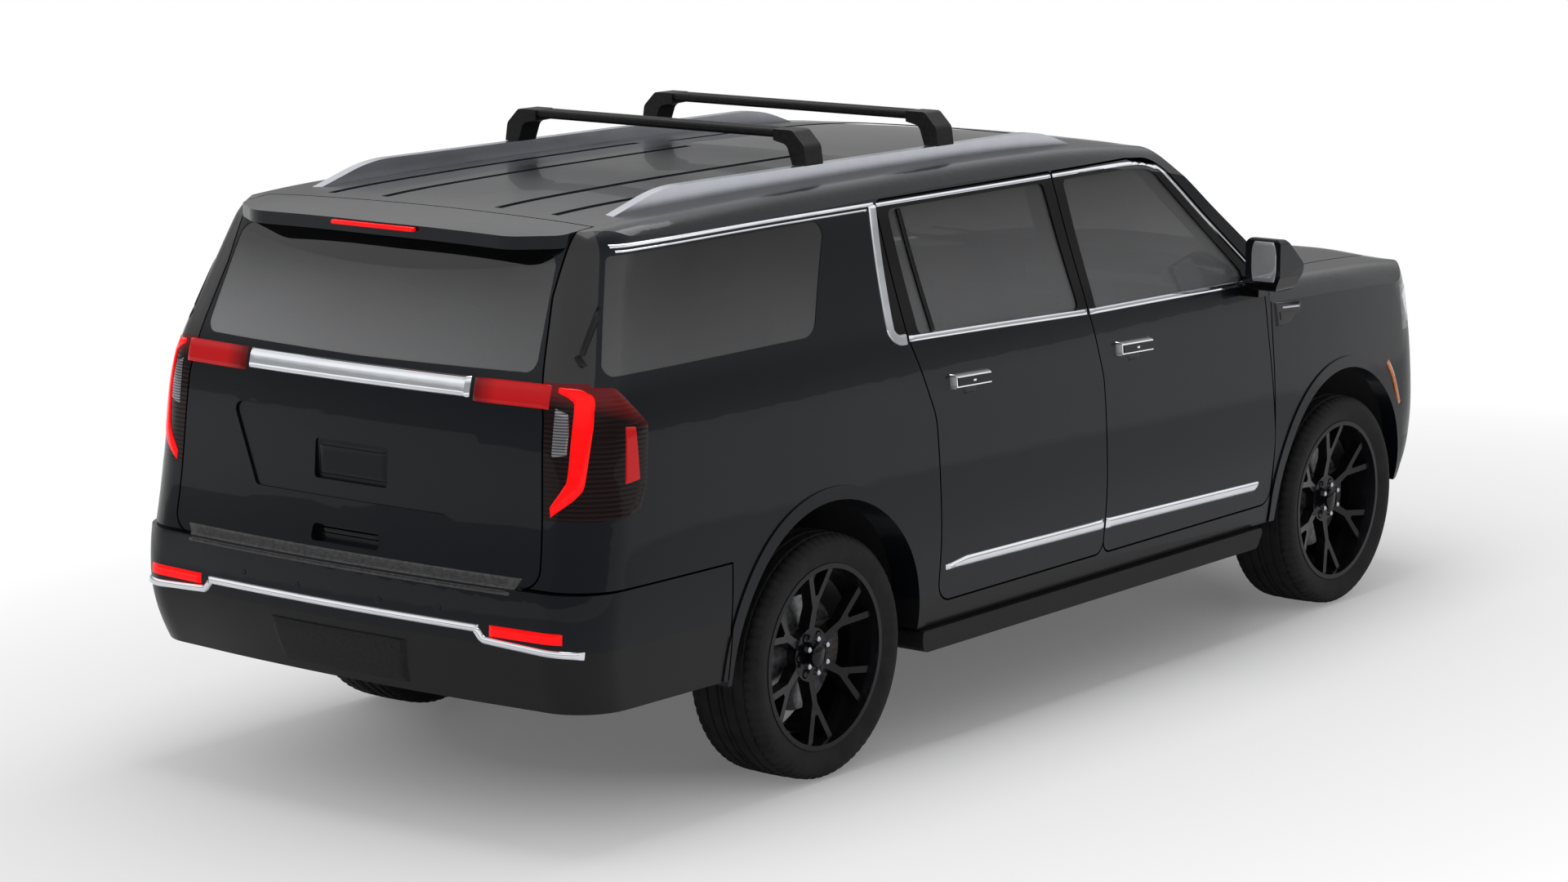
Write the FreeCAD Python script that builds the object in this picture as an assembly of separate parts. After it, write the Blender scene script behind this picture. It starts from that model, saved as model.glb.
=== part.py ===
"""A long full-size sport utility vehicle: body on a ladder frame, four side doors, a top-hinged tailgate,
a front-lifting hood, steered front wheels, roof rails with two crossbars and a running board on each side.
+X is forward, +Y is left, +Z is up. The origin is on the ground, midway between the bumper ends. Millimetres."""

import FreeCAD, Part
import functools
import math
import os

V = FreeCAD.Vector

# Overall sizes
length = 5720.0
half_width = 1028.0
roof_height = 1980.0
rear_end = -length / 2
front_end = length / 2
wheelbase = 3407.0
front_overhang = 1005.0
front_axle_x = front_end - front_overhang
rear_axle_x = front_axle_x - wheelbase
wheel_y = 870.0

# Clearances and walls
panel_gap = 7.0
seat_clearance = 0.3
working_gap = 8.0
bearing_clearance = 0.08
overrun = 60.0
far = 8000.0
side_wall = 110.0
door_thickness = 72.0
door_pocket_depth = 82.0
door_skin = 11.0
door_step = 18.0
door_frame_overlap = 30.0
roof_wall = 42.0
tailgate_wall = 66.0
hood_skin = 12.0
hood_depth = 34.0
fender_wall = 60.0
bumper_wall = 70.0
glass_thickness = 6.0
glass_flush = 2.0
screen_flush = 1.5
glass_inset = glass_flush + glass_thickness
side_low_y = 300.0
smallest_solid = 3000.0

# Heights
lowest = 300.0
body_bottom = 420.0
door_bottom = 500.0
floor_bottom = 640.0
floor_thickness = 28.0
floor_top = floor_bottom + floor_thickness
belt_rear = 1436.0
belt_front = 1376.0
window_top = 1862.0
door_top = 1892.0
tailgate_bottom = 838.0
bumper_bottom = 440.0
cowl_height = 1362.0
nose_height = 1258.0
highest = 2080.0

# Wheels and tyres
tyre_radius = 419.0
tyre_width = 285.0
rim_seat_radius = 304.0
rim_flange_radius = 317.0
rim_width = 254.0
flange_width = 9.0
arch_radius = 512.0
arch_rise = 24.0
flare_width = 46.0
flare_height = 6.0
steer_axis_y = 790.0
hub_radius = 68.0
disc_radius = 182.0
disc_thickness = 30.0
disc_y = 830.0
stud_circle_radius = 69.85
stud_radius = 11.0
spoke_count = 6

# Panel split lines, measured along the car
front_door_front = 1300.0
door_split_low = 115.0
door_split_top = -12.0
rear_door_rear_low = -925.0
rear_door_rear_top = -1085.0
hood_rear = 1575.0
hood_front = 2730.0
hood_half_rear = 790.0
hood_half_front = 690.0
roof_half_width = 716.0
roof_rear = -2395.0
roof_front = 800.0
bumper_side_front = -2090.0
firewall_x = 1300.0
nose_rear = front_door_front + panel_gap / 2
cabin_front = 1640.0


def smooth_through(knots, value):
    """Monotone cubic through (position, height) knots, held flat outside them."""
    if value <= knots[0][0]:
        return knots[0][1]
    if value >= knots[-1][0]:
        return knots[-1][1]
    slopes = []
    for (a, p), (b, q) in zip(knots, knots[1:]):
        slopes.append((q - p) / (b - a))
    tangents = [slopes[0]]
    for before, after in zip(slopes, slopes[1:]):
        same_way = before * after > 0
        tangents.append(2 * before * after / (before + after) if same_way else 0.0)
    tangents.append(slopes[-1])
    for index, ((a, p), (b, q)) in enumerate(zip(knots, knots[1:])):
        if value <= b:
            span = b - a
            t = (value - a) / span
            start = (1 + 2 * t) * (1 - t) ** 2 * p + t * (1 - t) ** 2 * span * tangents[index]
            end = t * t * (3 - 2 * t) * q + t * t * (t - 1) * span * tangents[index + 1]
            return start + end


def rounding(distance, radius, reach_share=0.8):
    """How far a round edge falls back, at a distance past the start of its arc."""
    if distance <= 0:
        return 0.0
    limit = reach_share * radius
    if distance <= limit:
        return radius - math.sqrt(radius**2 - distance**2)
    fall = radius - math.sqrt(radius**2 - limit**2)
    return fall + (distance - limit) * limit / math.sqrt(radius**2 - limit**2)


# The body's outer surfaces
rear_corner_radius = 190.0
front_corner_radius = 410.0
cant_radius = 95.0
hood_edge_radius = 90.0
rear_bow = 38.0
front_bow = 115.0
roof_crown = 22.0
rear_taper = 30.0
front_taper = 76.0
taper_start_rear = -1500.0
taper_start_front = 1300.0

width_knots = [
    (lowest, half_width - 60),
    (body_bottom, half_width - 30),
    (door_bottom + 60, half_width - 12),
    (760.0, half_width),
    (960.0, half_width - 6),
    (1160.0, half_width - 22),
    (1320.0, half_width - 36),
    (belt_rear, half_width - 58),
    (1540.0, half_width - 88),
    (1700.0, half_width - 132),
    (window_top, half_width - 172),
    (highest, half_width - 232),
]
rear_knots = [
    (lowest, rear_end + 20),
    (700.0, rear_end + 14),
    (tailgate_bottom, rear_end + 36),
    (1000.0, rear_end + 62),
    (1300.0, rear_end + 88),
    (belt_rear, rear_end + 108),
    (1680.0, rear_end + 200),
    (1900.0, rear_end + 300),
    (highest, rear_end + 400),
]
bumper_knots = [
    (lowest, rear_end + 130),
    (bumper_bottom, rear_end + 60),
    (560.0, rear_end + 14),
    (650.0, rear_end),
    (740.0, rear_end + 4),
    (tailgate_bottom, rear_end + 16),
    (1000.0, rear_end + 60),
]
front_knots = [
    (lowest, front_end - 140),
    (body_bottom, front_end - 70),
    (520.0, front_end - 16),
    (640.0, front_end),
    (900.0, front_end - 12),
    (1140.0, front_end - 34),
    (nose_height, front_end - 66),
    (1420.0, front_end - 200),
]
roof_knots = [
    (rear_end - overrun, roof_height - 118),
    (roof_rear, roof_height - 30),
    (-1500.0, roof_height - 6),
    (-500.0, roof_height),
    (0.0, roof_height - 4),
    (roof_front / 2, roof_height - 18),
    (roof_front, roof_height - 55),
    (cabin_front, roof_height - 220),
]
hood_knots = [
    (front_door_front - overrun, cowl_height + 8),
    (hood_rear, cowl_height),
    (2100.0, cowl_height - 18),
    (2500.0, cowl_height - 44),
    (hood_front, nose_height + 14),
    (front_end + overrun, nose_height - 60),
]
windscreen_base_x = 1560.0
windscreen_base_z = 1340.0
windscreen_top_z = roof_height - 55
windscreen_slope = (windscreen_base_x - roof_front) / (windscreen_top_z - windscreen_base_z)
windscreen_bow = 90.0


def side_y(x, z):
    """Half width of the body at a place along it and a height."""
    y = smooth_through(width_knots, z)
    y -= rear_taper * max(0.0, (taper_start_rear - x) / 1300) ** 2
    y -= front_taper * max(0.0, (x - taper_start_front) / 1500) ** 2
    return y - rounding(z - smooth_through(roof_knots, x) + cant_radius, cant_radius)


def steps(low, high, count):
    return [low + (high - low) * index / count for index in range(count + 1)]


def spread(lines):
    """Shared spline parameters for lines of points, from the mean distance between neighbours."""
    at = [0.0]
    for index in range(len(lines[0]) - 1):
        gaps = [line[index].distanceToPoint(line[index + 1]) for line in lines]
        at.append(at[-1] + sum(gaps) / len(gaps))
    return [value / at[-1] for value in at]


def spline_poles(lines, at):
    curves = []
    for line in lines:
        curve = Part.BSplineCurve()
        curve.interpolate(Points=list(line), Parameters=at)
        curves.append(curve)
    return [curve.getPoles() for curve in curves], curves[0].getKnots(), curves[0].getMultiplicities()


def smooth_surface(grid):
    """A cubic surface through every point of a grid of rows."""
    along, along_knots, along_mults = spline_poles(grid, spread(grid))
    columns = list(zip(*grid))
    across, across_knots, across_mults = spline_poles(list(zip(*along)), spread(columns))
    surface = Part.BSplineSurface()
    surface.buildFromPolesMultsKnots(
        across, along_mults, across_mults, along_knots, across_knots, False, False, 3, 3
    )
    return surface


def corner_curve(knots, z, inset, way, bow, radius, stop_x):
    """Points round one end of the body at height z, from the left side at stop_x to the right side."""
    nose = smooth_through(knots, z) - way * inset
    arc = max(radius - inset, 60.0)
    points = []
    start_x = nose - way * (bow + arc)
    for share in steps(0.0, 1.0, 9):
        x = stop_x + (start_x - stop_x) * share
        points.append((x, side_y(x, z) - inset))
    joint = points[-1][1]
    for turn in steps(0.0, 1.0, 7)[1:-1]:
        angle = turn * math.pi / 2
        points.append((start_x + way * arc * math.sin(angle), joint - arc * (1 - math.cos(angle))))
    flat = joint - arc
    for share in (1.0, 0.72, 0.42, 0.16):
        points.append((nose - way * bow * share**2, flat * share))
    left = [V(x, y, z) for x, y in points]
    right = [V(x, -y, z) for x, y in reversed(points)]
    return left + right


def wrapped_volume(knots, rows, inset, way, bow, radius, stop_x):
    """The solid inside a surface that wraps round one end of the body, closed off at stop_x."""
    grid = [corner_curve(knots, z, inset, way, bow, radius, stop_x) for z in rows]
    skin = smooth_surface(grid).toShape()
    faces = [skin]
    edges = sorted(skin.Edges, key=lambda edge: edge.BoundBox.ZLength)
    for edge in edges[:2]:
        ends = [edge.Vertexes[0].Point, edge.Vertexes[-1].Point]
        faces.append(Part.Face(Part.Wire([edge, Part.makeLine(ends[0], ends[1])])))
    sides = edges[2:]
    bars = []
    for level in (min(rows), max(rows)):
        at = [vertex.Point for edge in sides for vertex in edge.Vertexes if abs(vertex.Point.z - level) < 0.01]
        bars.append(Part.makeLine(at[0], at[1]))
    faces.append(Part.Face(Part.Wire(Part.__sortEdges__(sides + bars))))
    solid = Part.makeSolid(Part.makeShell(faces))
    if solid.Volume < 0:
        solid.reverse()
    return solid


cabin_rows = [lowest, 420, 500, 580, 680, 780, 900, 1040, 1180, 1310, 1376, 1436, 1500, 1600, 1720, 1800]
cabin_rows += [1844, 1870, 1892, 1912, 1930, 1948, 1968, 1990, 2020, highest]
nose_rows = [lowest, 420, 480, 540, 620, 700, 800, 920, 1060, 1160, 1230, 1290, 1350, 1440]
bumper_rows = [lowest, 380, 440, 500, 560, 610, 660, 720, 780, 840, 900]


@functools.lru_cache
def cabin_volume(inset):
    return wrapped_volume(rear_knots, cabin_rows, inset, -1, rear_bow, rear_corner_radius, cabin_front)


@functools.lru_cache
def bumper_volume(inset):
    return wrapped_volume(bumper_knots, bumper_rows, inset, -1, rear_bow, rear_corner_radius, bumper_side_front)


@functools.lru_cache
def nose_volume(inset):
    return wrapped_volume(front_knots, nose_rows, inset, 1, front_bow, front_corner_radius, nose_rear)


def field_solid(point_at, us, vs, push):
    """The solid swept from a smooth face through point_at(u, v) along push."""
    return smooth_surface([[point_at(u, v) for v in vs] for u in us]).toShape().extrude(push)


edge_shares = [1.16, 1.06, 0.985, 0.955, 0.925, 0.89, 0.85, 0.8, 0.68, 0.5, 0.25]
across_shares = [-share for share in edge_shares] + [0.0] + edge_shares[::-1]


def roof_z(x, y):
    edge = half_width - 178
    fall = roof_crown * (y / edge) ** 2 + rounding(abs(y) - edge + cant_radius, cant_radius)
    return smooth_through(roof_knots, x) - fall


def hood_z(x, y):
    edge = half_width - 40 - front_taper * max(0.0, (x - taper_start_front) / 1500) ** 2
    dome = 14 * math.exp(-(((abs(y) - 430) / 150) ** 2))
    fall = 18 * (y / edge) ** 2 + rounding(abs(y) - edge + hood_edge_radius, hood_edge_radius)
    return smooth_through(hood_knots, x) - fall + dome


def windscreen_x(y, z):
    bow = windscreen_bow * (y / (half_width - 228)) ** 2
    return windscreen_base_x - (z - windscreen_base_z) * windscreen_slope - bow


@functools.lru_cache
def below_roof(inset):
    xs = steps(rear_end - overrun, cabin_front + overrun, 14)
    ys = [share * (half_width - 128) for share in across_shares]
    return field_solid(lambda x, y: V(x, y, roof_z(x, y) - inset), xs, ys, V(0, 0, -far / 4))


@functools.lru_cache
def below_hood(inset):
    xs = steps(front_door_front - overrun, front_end + overrun, 12)
    ys = [share * half_width for share in across_shares]
    return field_solid(lambda x, y: V(x, y, hood_z(x, y) - inset), xs, ys, V(0, 0, -far / 4))


@functools.lru_cache
def behind_windscreen(inset):
    slant = math.hypot(1.0, windscreen_slope)
    ys = steps(-half_width - overrun, half_width + overrun, 10)
    zs = steps(lowest, highest, 3)
    return field_solid(lambda y, z: V(windscreen_x(y, z) - inset * slant, y, z), ys, zs, V(-far, 0, 0))


def box(x0, x1, y0, y1, z0, z1):
    return Part.makeBox(x1 - x0, y1 - y0, z1 - z0, V(x0, y0, z0))


def outline(points, radius, place):
    """A closed outline with every corner rounded; place turns (u, v) into a point."""
    flat = [V(u, v, 0) for u, v in points]
    ends = []
    for index, corner in enumerate(flat):
        back = (flat[index - 1] - corner).normalize()
        ahead = (flat[(index + 1) % len(flat)] - corner).normalize()
        half = back.getAngle(ahead) / 2
        r = radius[index] if isinstance(radius, (list, tuple)) else radius
        cut = r / math.tan(half)
        middle = (back + ahead).normalize() * (r / math.sin(half) - r)
        ends.append((corner + back * cut, corner + middle, corner + ahead * cut))
    at = [tuple(place(p.x, p.y) for p in end) for end in ends]
    edges = []
    for index, (start, middle, finish) in enumerate(at):
        edges.append(Part.Arc(start, middle, finish).toShape())
        following = at[(index + 1) % len(at)][0]
        if finish.distanceToPoint(following) > seat_clearance:
            edges.append(Part.makeLine(finish, following))
    return Part.Wire(edges)


def grown(wire, amount):
    face = Part.Face(wire)
    return face if amount == 0 else face.makeOffset2D(amount)


def along_y(points, radius, y0, y1, grow=0.0):
    """A prism across the car whose outline is given as (x, z)."""
    wire = outline(points, radius, lambda u, v: V(u, y0, v))
    return grown(wire, grow).extrude(V(0, y1 - y0, 0))


def along_x(points, radius, x0, x1, grow=0.0):
    """A prism along the car whose outline is given as (y, z)."""
    wire = outline(points, radius, lambda u, v: V(x0, u, v))
    return grown(wire, grow).extrude(V(x1 - x0, 0, 0))


def along_z(points, radius, z0, z1, grow=0.0):
    """An upright prism whose outline is given as (x, y)."""
    wire = outline(points, radius, lambda u, v: V(u, v, z0))
    return grown(wire, grow).extrude(V(0, 0, z1 - z0))


def cylinder_y(x, z, radius, y0, y1):
    return Part.makeCylinder(radius, y1 - y0, V(x, y0, z), V(0, 1, 0))


def cylinder_z(x, y, radius, z0, z1):
    return Part.makeCylinder(radius, z1 - z0, V(x, y, z0), V(0, 0, 1))


def bar(start, end, radius):
    return Part.makeCylinder(radius, (end - start).Length, start, end - start)


def mirrored(shape):
    return shape.mirror(V(0, 0, 0), V(0, 1, 0))


def fused(shapes):
    return shapes[0].multiFuse(shapes[1:]) if len(shapes) > 1 else shapes[0]


def solids_of(shape):
    """The shape's solids, leaving out slivers that a cut leaves behind."""
    kept = [solid for solid in shape.Solids if solid.Volume > smallest_solid]
    return kept[0] if len(kept) == 1 else Part.makeCompound(kept)


def save(name, *shapes):
    shape = solids_of(Part.makeCompound(list(shapes)))
    shape.exportStep(f"parts/{name}.step")
    litres = shape.Volume / 1e6
    print(f"{name:24s} solids {len(shape.Solids):2d} valid {shape.isValid()} litres {litres:8.2f}", flush=True)


def save_pair(name, left):
    save(name + "_left", left)
    save(name + "_right", mirrored(left))


def save_both(name, left):
    save(name, left, mirrored(left))


# Outlines of the openings, as seen from the side
front_door_top = 680.0
front_door_outline = [
    (door_split_low, door_bottom),
    (front_door_front - 12, door_bottom),
    (front_door_front, 760.0),
    (front_door_front - 52, belt_front + 6),
    (front_door_top, door_top - 14),
    (front_door_top - 180, door_top),
    (door_split_top, door_top),
    (door_split_low - 70, belt_front + 30),
    (door_split_low, 1150.0),
]
front_door_radii = [45, 60, 300, 70, 200, 300, 14, 200, 200]
rear_split = door_split_low - panel_gap
rear_door_outline = [
    (rear_door_rear_low, door_bottom),
    (rear_split, door_bottom),
    (rear_split, 1150.0),
    (rear_split - 70, belt_front + 30),
    (door_split_top - panel_gap, door_top),
    (rear_door_rear_top, door_top),
    (rear_door_rear_top + 30, belt_rear),
    (rear_door_rear_low - 8, 1150.0),
]
rear_door_radii = [70, 45, 200, 200, 14, 30, 200, 200]
front_window_outline = [
    (door_split_low - 22, belt_front + 24),
    (front_door_front - 150, belt_front + 6),
    (front_door_top - 40, window_top - 14),
    (front_door_top - 200, window_top),
    (door_split_top + 62, window_top),
]
front_window_radii = [16, 26, 160, 300, 24]
rear_window_outline = [
    (rear_door_rear_top + 92, belt_rear),
    (door_split_low - 128, belt_front + 28),
    (door_split_top - 66, window_top),
    (rear_door_rear_top + 60, window_top),
]
quarter_window_outline = [
    (-2606.0, 1494.0),
    (-1560.0, 1500.0),
    (-1380.0, window_top),
    (-2462.0, window_top - 8),
]
quarter_window_radii = [30, 90, 40, 30]

tailgate_half_low = 800.0
tailgate_half_belt = 772.0
tailgate_half_top = 706.0
tailgate_waist = 1360.0
tailgate_shoulder = 1730.0
tailgate_outline = [
    (-tailgate_half_low, tailgate_bottom),
    (tailgate_half_low, tailgate_bottom),
    (tailgate_half_belt, tailgate_waist),
    (tailgate_half_top, tailgate_shoulder),
    (tailgate_half_top, highest),
    (-tailgate_half_top, highest),
    (-tailgate_half_top, tailgate_shoulder),
    (-tailgate_half_belt, tailgate_waist),
]
tailgate_radii = [60, 60, 40, 20, 10, 10, 20, 40]
plate_face_x = -2766.0
plate_hole_spacing = 178.0
plate_hole_radius = 3.5
plate_hole_depth = 24.0
plate_hole_z = 1180.0
plate_outline = [(-160.0, 1084.0), (160.0, 1084.0), (160.0, 1214.0), (-160.0, 1214.0)]
recess_outline = [(-420.0, 1030.0), (420.0, 1030.0), (548.0, 1296.0), (-548.0, 1296.0)]
grip_outline = [(-152.0, 884.0), (152.0, 884.0), (144.0, 940.0), (-144.0, 940.0)]
grip_face_x = -2782.0
spoiler_depth = 42.0
spoiler_rear = -2650.0
spoiler_outline = [
    (roof_rear - 60, -tailgate_half_top + 2),
    (spoiler_rear + 110, -tailgate_half_top + 2),
    (spoiler_rear + 18, -560.0),
    (spoiler_rear, 0.0),
    (spoiler_rear + 18, 560.0),
    (spoiler_rear + 110, tailgate_half_top - 2),
    (roof_rear - 60, tailgate_half_top - 2),
]
spoiler_radii = [4, 60, 160, 3000, 160, 60, 4]
rear_glass_outline = [
    (-tailgate_half_belt + 50, 1502.0),
    (0.0, 1494.0),
    (tailgate_half_belt - 50, 1502.0),
    (tailgate_half_top - 20, 1856.0),
    (-tailgate_half_top + 20, 1856.0),
]
rear_glass_radii = [40, 900, 40, 50, 50]
windscreen_outline = [
    (-800.0, windscreen_base_z + 30),
    (800.0, windscreen_base_z + 30),
    (690.0, windscreen_top_z - 38),
    (-690.0, windscreen_top_z - 38),
]
roof_outline = [
    (roof_rear, -roof_half_width),
    (roof_front - 60, -roof_half_width + 20),
    (roof_front + 46, 0.0),
    (roof_front - 60, roof_half_width - 20),
    (roof_rear, roof_half_width),
]
roof_radii = [20, 40, 2400, 40, 20]
sunroof_outline = [(-640.0, -440.0), (620.0, -440.0), (620.0, 440.0), (-640.0, 440.0)]
groove_depth = 5.0
groove_slope = 6.0
groove_half_width = 11.0
groove_y = (250.0, 490.0)
groove_rear = -2330.0
groove_front = -720.0


def roof_prism(points, radii, grow=0.0):
    return along_z(points, radii, roof_height - 190, highest, grow)


def build_roof(shell):
    panel = shell.common(roof_prism(roof_outline, roof_radii)).cut(roof_prism(sunroof_outline, 70))
    shallow = below_roof(groove_depth / 2)
    deep = below_roof(groove_depth)
    for y in groove_y:
        for way in (1, -1):
            for floor, half in ((shallow, groove_half_width + groove_slope), (deep, groove_half_width)):
                strip = box(groove_rear, groove_front, way * y - half, way * y + half, roof_height - 90, highest)
                panel = panel.cut(strip.cut(floor))
    save("roof_panel", panel)
    glass = below_roof(glass_flush).cut(below_roof(glass_inset))
    return glass.common(roof_prism(sunroof_outline, 70, -seat_clearance))


def door_body(outer, shape, radii, window, window_radii):
    """A door: a thin skin to the panel edge and a box section behind it, set in so that it swings clear."""
    prism = along_y(shape, radii, side_low_y, half_width + overrun)
    inner_prism = along_y(shape, radii, side_low_y, half_width + overrun, -door_step)
    skin = prism.common(outer).cut(cabin_volume(door_skin))
    box_section = inner_prism.common(cabin_volume(door_skin)).cut(cabin_volume(door_thickness))
    door = skin.fuse(box_section)
    return door.cut(along_y(window, window_radii, side_low_y, half_width + overrun))


def arch_flare(x):
    """A raised band round a wheel arch, on the left."""
    band = cylinder_y(x, tyre_radius + arch_rise, arch_radius + flare_width, half_width / 2, half_width + overrun)
    return band.cut(box(-far, far, 0.0, far, 0.0, body_bottom))


def build_sides(shell):
    left = box(rear_end - overrun, front_end, 0.0, far / 4, 0.0, highest)
    side = shell.common(left)
    side = side.cut(roof_prism(roof_outline, roof_radii, seat_clearance))
    side = side.cut(along_x(windscreen_outline, 60, roof_front - 300, windscreen_base_x + 200))
    gate_core = cabin_volume(tailgate_wall + seat_clearance).common(below_roof(roof_wall + seat_clearance))
    gate_zone = along_x(tailgate_outline, tailgate_radii, rear_end - 200, roof_rear, panel_gap)
    side = side.cut(gate_zone.cut(gate_core))
    side = side.cut(along_x(tailgate_outline, tailgate_radii, rear_end - 200, roof_rear, -door_frame_overlap))
    pocket_core = cabin_volume(door_pocket_depth)
    seal_core = cabin_volume(door_thickness + seat_clearance)
    for points, radii in ((front_door_outline, front_door_radii), (rear_door_outline, rear_door_radii)):
        pocket = along_y(points, radii, side_low_y, half_width + overrun, panel_gap)
        seal = along_y(points, radii, side_low_y, half_width + overrun, -door_step - 2)
        side = side.cut(pocket.cut(seal.common(seal_core)).cut(pocket_core))
        side = side.cut(along_y(points, radii, side_low_y, half_width + overrun, -door_frame_overlap))
    side = side.cut(along_y(quarter_window_outline, quarter_window_radii, side_low_y, half_width + overrun))
    side = side.fuse(arch_flare(rear_axle_x).common(cabin_volume(-flare_height)).cut(cabin_volume(door_skin)))
    side = side.cut(cylinder_y(rear_axle_x, tyre_radius + arch_rise, arch_radius, side_low_y, half_width + overrun))
    side = side.cut(box(rear_end - overrun, bumper_side_front + panel_gap, 0.0, far / 4, 0.0, tailgate_bottom))
    side = side.cut(box(nose_rear - panel_gap, front_end, 0.0, far / 4, 0.0, cowl_height + 24))
    return side


def build_glass():
    band = cabin_volume(glass_inset).cut(cabin_volume(glass_inset + glass_thickness))
    left = box(rear_end - overrun, front_end, 0.0, far / 4, 0.0, highest)
    band = band.common(left)
    top = half_width + overrun
    for name, points, radii in (
        ("front_door_glass", front_window_outline, front_window_radii),
        ("rear_door_glass", rear_window_outline, 26),
    ):
        save_pair(name, band.common(along_y(points, radii, side_low_y, top, -seat_clearance)))
    quarter_band = cabin_volume(glass_flush).cut(cabin_volume(glass_inset)).common(left)
    return quarter_band.common(along_y(quarter_window_outline, quarter_window_radii, 0.0, top, -seat_clearance))


def build_tailgate(outer):
    zone = along_x(tailgate_outline, tailgate_radii, rear_end - 200, roof_rear - panel_gap)
    inner_zone = along_x(tailgate_outline, tailgate_radii, rear_end - 200, roof_rear - panel_gap, -door_step)
    under_skin = cabin_volume(door_skin).common(below_roof(door_skin))
    gate_core = cabin_volume(tailgate_wall).common(below_roof(roof_wall))
    gate = outer.common(zone).cut(under_skin)
    gate = gate.fuse(under_skin.common(inner_zone).cut(gate_core))
    spoiler = below_roof(0.0).cut(below_roof(spoiler_depth))
    spoiler = spoiler.common(along_z(spoiler_outline, spoiler_radii, roof_height - 200, highest))
    gate = gate.fuse(spoiler)
    gate = gate.cut(along_x(rear_glass_outline, rear_glass_radii, rear_end - 200, roof_rear - 60))
    recess = along_x(recess_outline, 26, rear_end - 200, roof_rear)
    gate = gate.cut(recess.cut(cabin_volume(glass_inset)))
    gate = gate.cut(along_x(plate_outline, 14, rear_end - 200, plate_face_x))
    gate = gate.cut(along_x(grip_outline, 16, rear_end - 200, grip_face_x))
    for way in (1, -1):
        hole_at = V(plate_face_x - 10, way * plate_hole_spacing / 2, plate_hole_z)
        gate = gate.cut(Part.makeCylinder(plate_hole_radius, plate_hole_depth + 10, hole_at, V(1, 0, 0)))
    save("tailgate", gate)
    pane = cabin_volume(glass_flush).cut(cabin_volume(glass_inset))
    pane = pane.common(box(-far, roof_rear - 60, -far / 4, far / 4, 0.0, highest))
    save("tailgate_glass", pane.common(along_x(rear_glass_outline, rear_glass_radii, -far, roof_rear, -seat_clearance)))


hood_outline = [
    (hood_rear, -hood_half_rear),
    (2500.0, -hood_half_front - 16),
    (hood_front - 60, -hood_half_front + 60),
    (hood_front, 0.0),
    (hood_front - 60, hood_half_front - 60),
    (2500.0, hood_half_front + 16),
    (hood_rear, hood_half_rear),
]
hood_radii = [30, 300, 90, 2400, 90, 300, 30]
ledge_depth = 26.0
grille_half = 560.0
grille_top = 1196.0
grille_bottom = 700.0
lamp_inner = 575.0
lamp_top = 1224.0
lamp_bottom = 1040.0
lamp_rear_x = 2380.0
bumper_line = 830.0


def build_front():
    top = below_hood(0.0)
    outer = nose_volume(0.0).common(top)
    hood_zone = along_z(hood_outline, hood_radii, 1000.0, 1500.0)
    hood_inner = along_z(hood_outline, hood_radii, 1000.0, 1500.0, -door_step)
    lid = top.common(hood_zone).cut(below_hood(hood_skin))
    lid_box = below_hood(hood_skin).common(hood_inner).cut(below_hood(hood_depth))
    save("hood", lid.fuse(lid_box))
    hood_pocket = along_z(hood_outline, hood_radii, 1000.0, 1500.0, panel_gap)
    rest = outer.cut(nose_volume(fender_wall).common(below_hood(hood_depth + ledge_depth)))
    rest = rest.cut(hood_pocket.cut(below_hood(hood_depth + seat_clearance)))
    flare = arch_flare(front_axle_x).common(nose_volume(-flare_height)).cut(nose_volume(door_skin))
    rest = rest.fuse(flare).fuse(mirrored(flare))
    rest = rest.cut(along_z(hood_outline, hood_radii, 1000.0, 1500.0, -door_frame_overlap))
    rest = rest.cut(cylinder_y(front_axle_x, tyre_radius + arch_rise, arch_radius, -far / 4, far / 4))
    rest = rest.cut(box(0.0, front_end, -far / 4, far / 4, 0.0, body_bottom))
    lamp_zone = box(lamp_rear_x, front_end, lamp_inner, half_width + overrun, lamp_bottom, lamp_top)
    save_both("headlamps", rest.common(lamp_zone))
    rest = rest.cut(lamp_zone).cut(mirrored(lamp_zone))
    grille_zone = box(2600.0, front_end, -grille_half, grille_half, grille_bottom, grille_top)
    save("grille", rest.common(grille_zone))
    rest = rest.cut(grille_zone)
    low = box(2370.0, front_end, -far / 4, far / 4, 0.0, bumper_line)
    across = box(2600.0, front_end, -lamp_inner - 60, lamp_inner + 60, 0.0, lamp_top)
    save("front_bumper", rest.common(low.fuse(across)))
    fenders = rest.cut(low).cut(across).cut(box(0.0, front_end, -500.0, 500.0, 0.0, highest))
    save("fenders", fenders)


def build_bumper():
    shell = bumper_volume(0.0).cut(bumper_volume(bumper_wall))
    shell = shell.common(box(-far, bumper_side_front, -far / 4, far / 4, bumper_bottom, tailgate_bottom - panel_gap))
    arch = cylinder_y(rear_axle_x, tyre_radius + arch_rise, arch_radius, -far / 4, far / 4)
    flare = arch_flare(rear_axle_x).common(bumper_volume(-flare_height)).cut(bumper_volume(bumper_wall / 2))
    flare = flare.common(box(-far, bumper_side_front, -far, far, bumper_bottom, tailgate_bottom - panel_gap))
    shell = shell.fuse(flare).fuse(mirrored(flare))
    step = bumper_volume(bumper_wall).common(box(-far, -2600.0, -740.0, 740.0, 790.0, tailgate_bottom - panel_gap))
    save("rear_bumper", shell.fuse(step).cut(arch))


def build_tail_lamps(side):
    """The body's lamps fill a notch in each rear corner."""
    zone = box(-3000.0, -2640.0, tailgate_half_belt - 60, half_width + overrun, 1056.0, 1480.0)
    save_both("tail_lamps", side.common(zone))
    return side.cut(zone)


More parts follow.
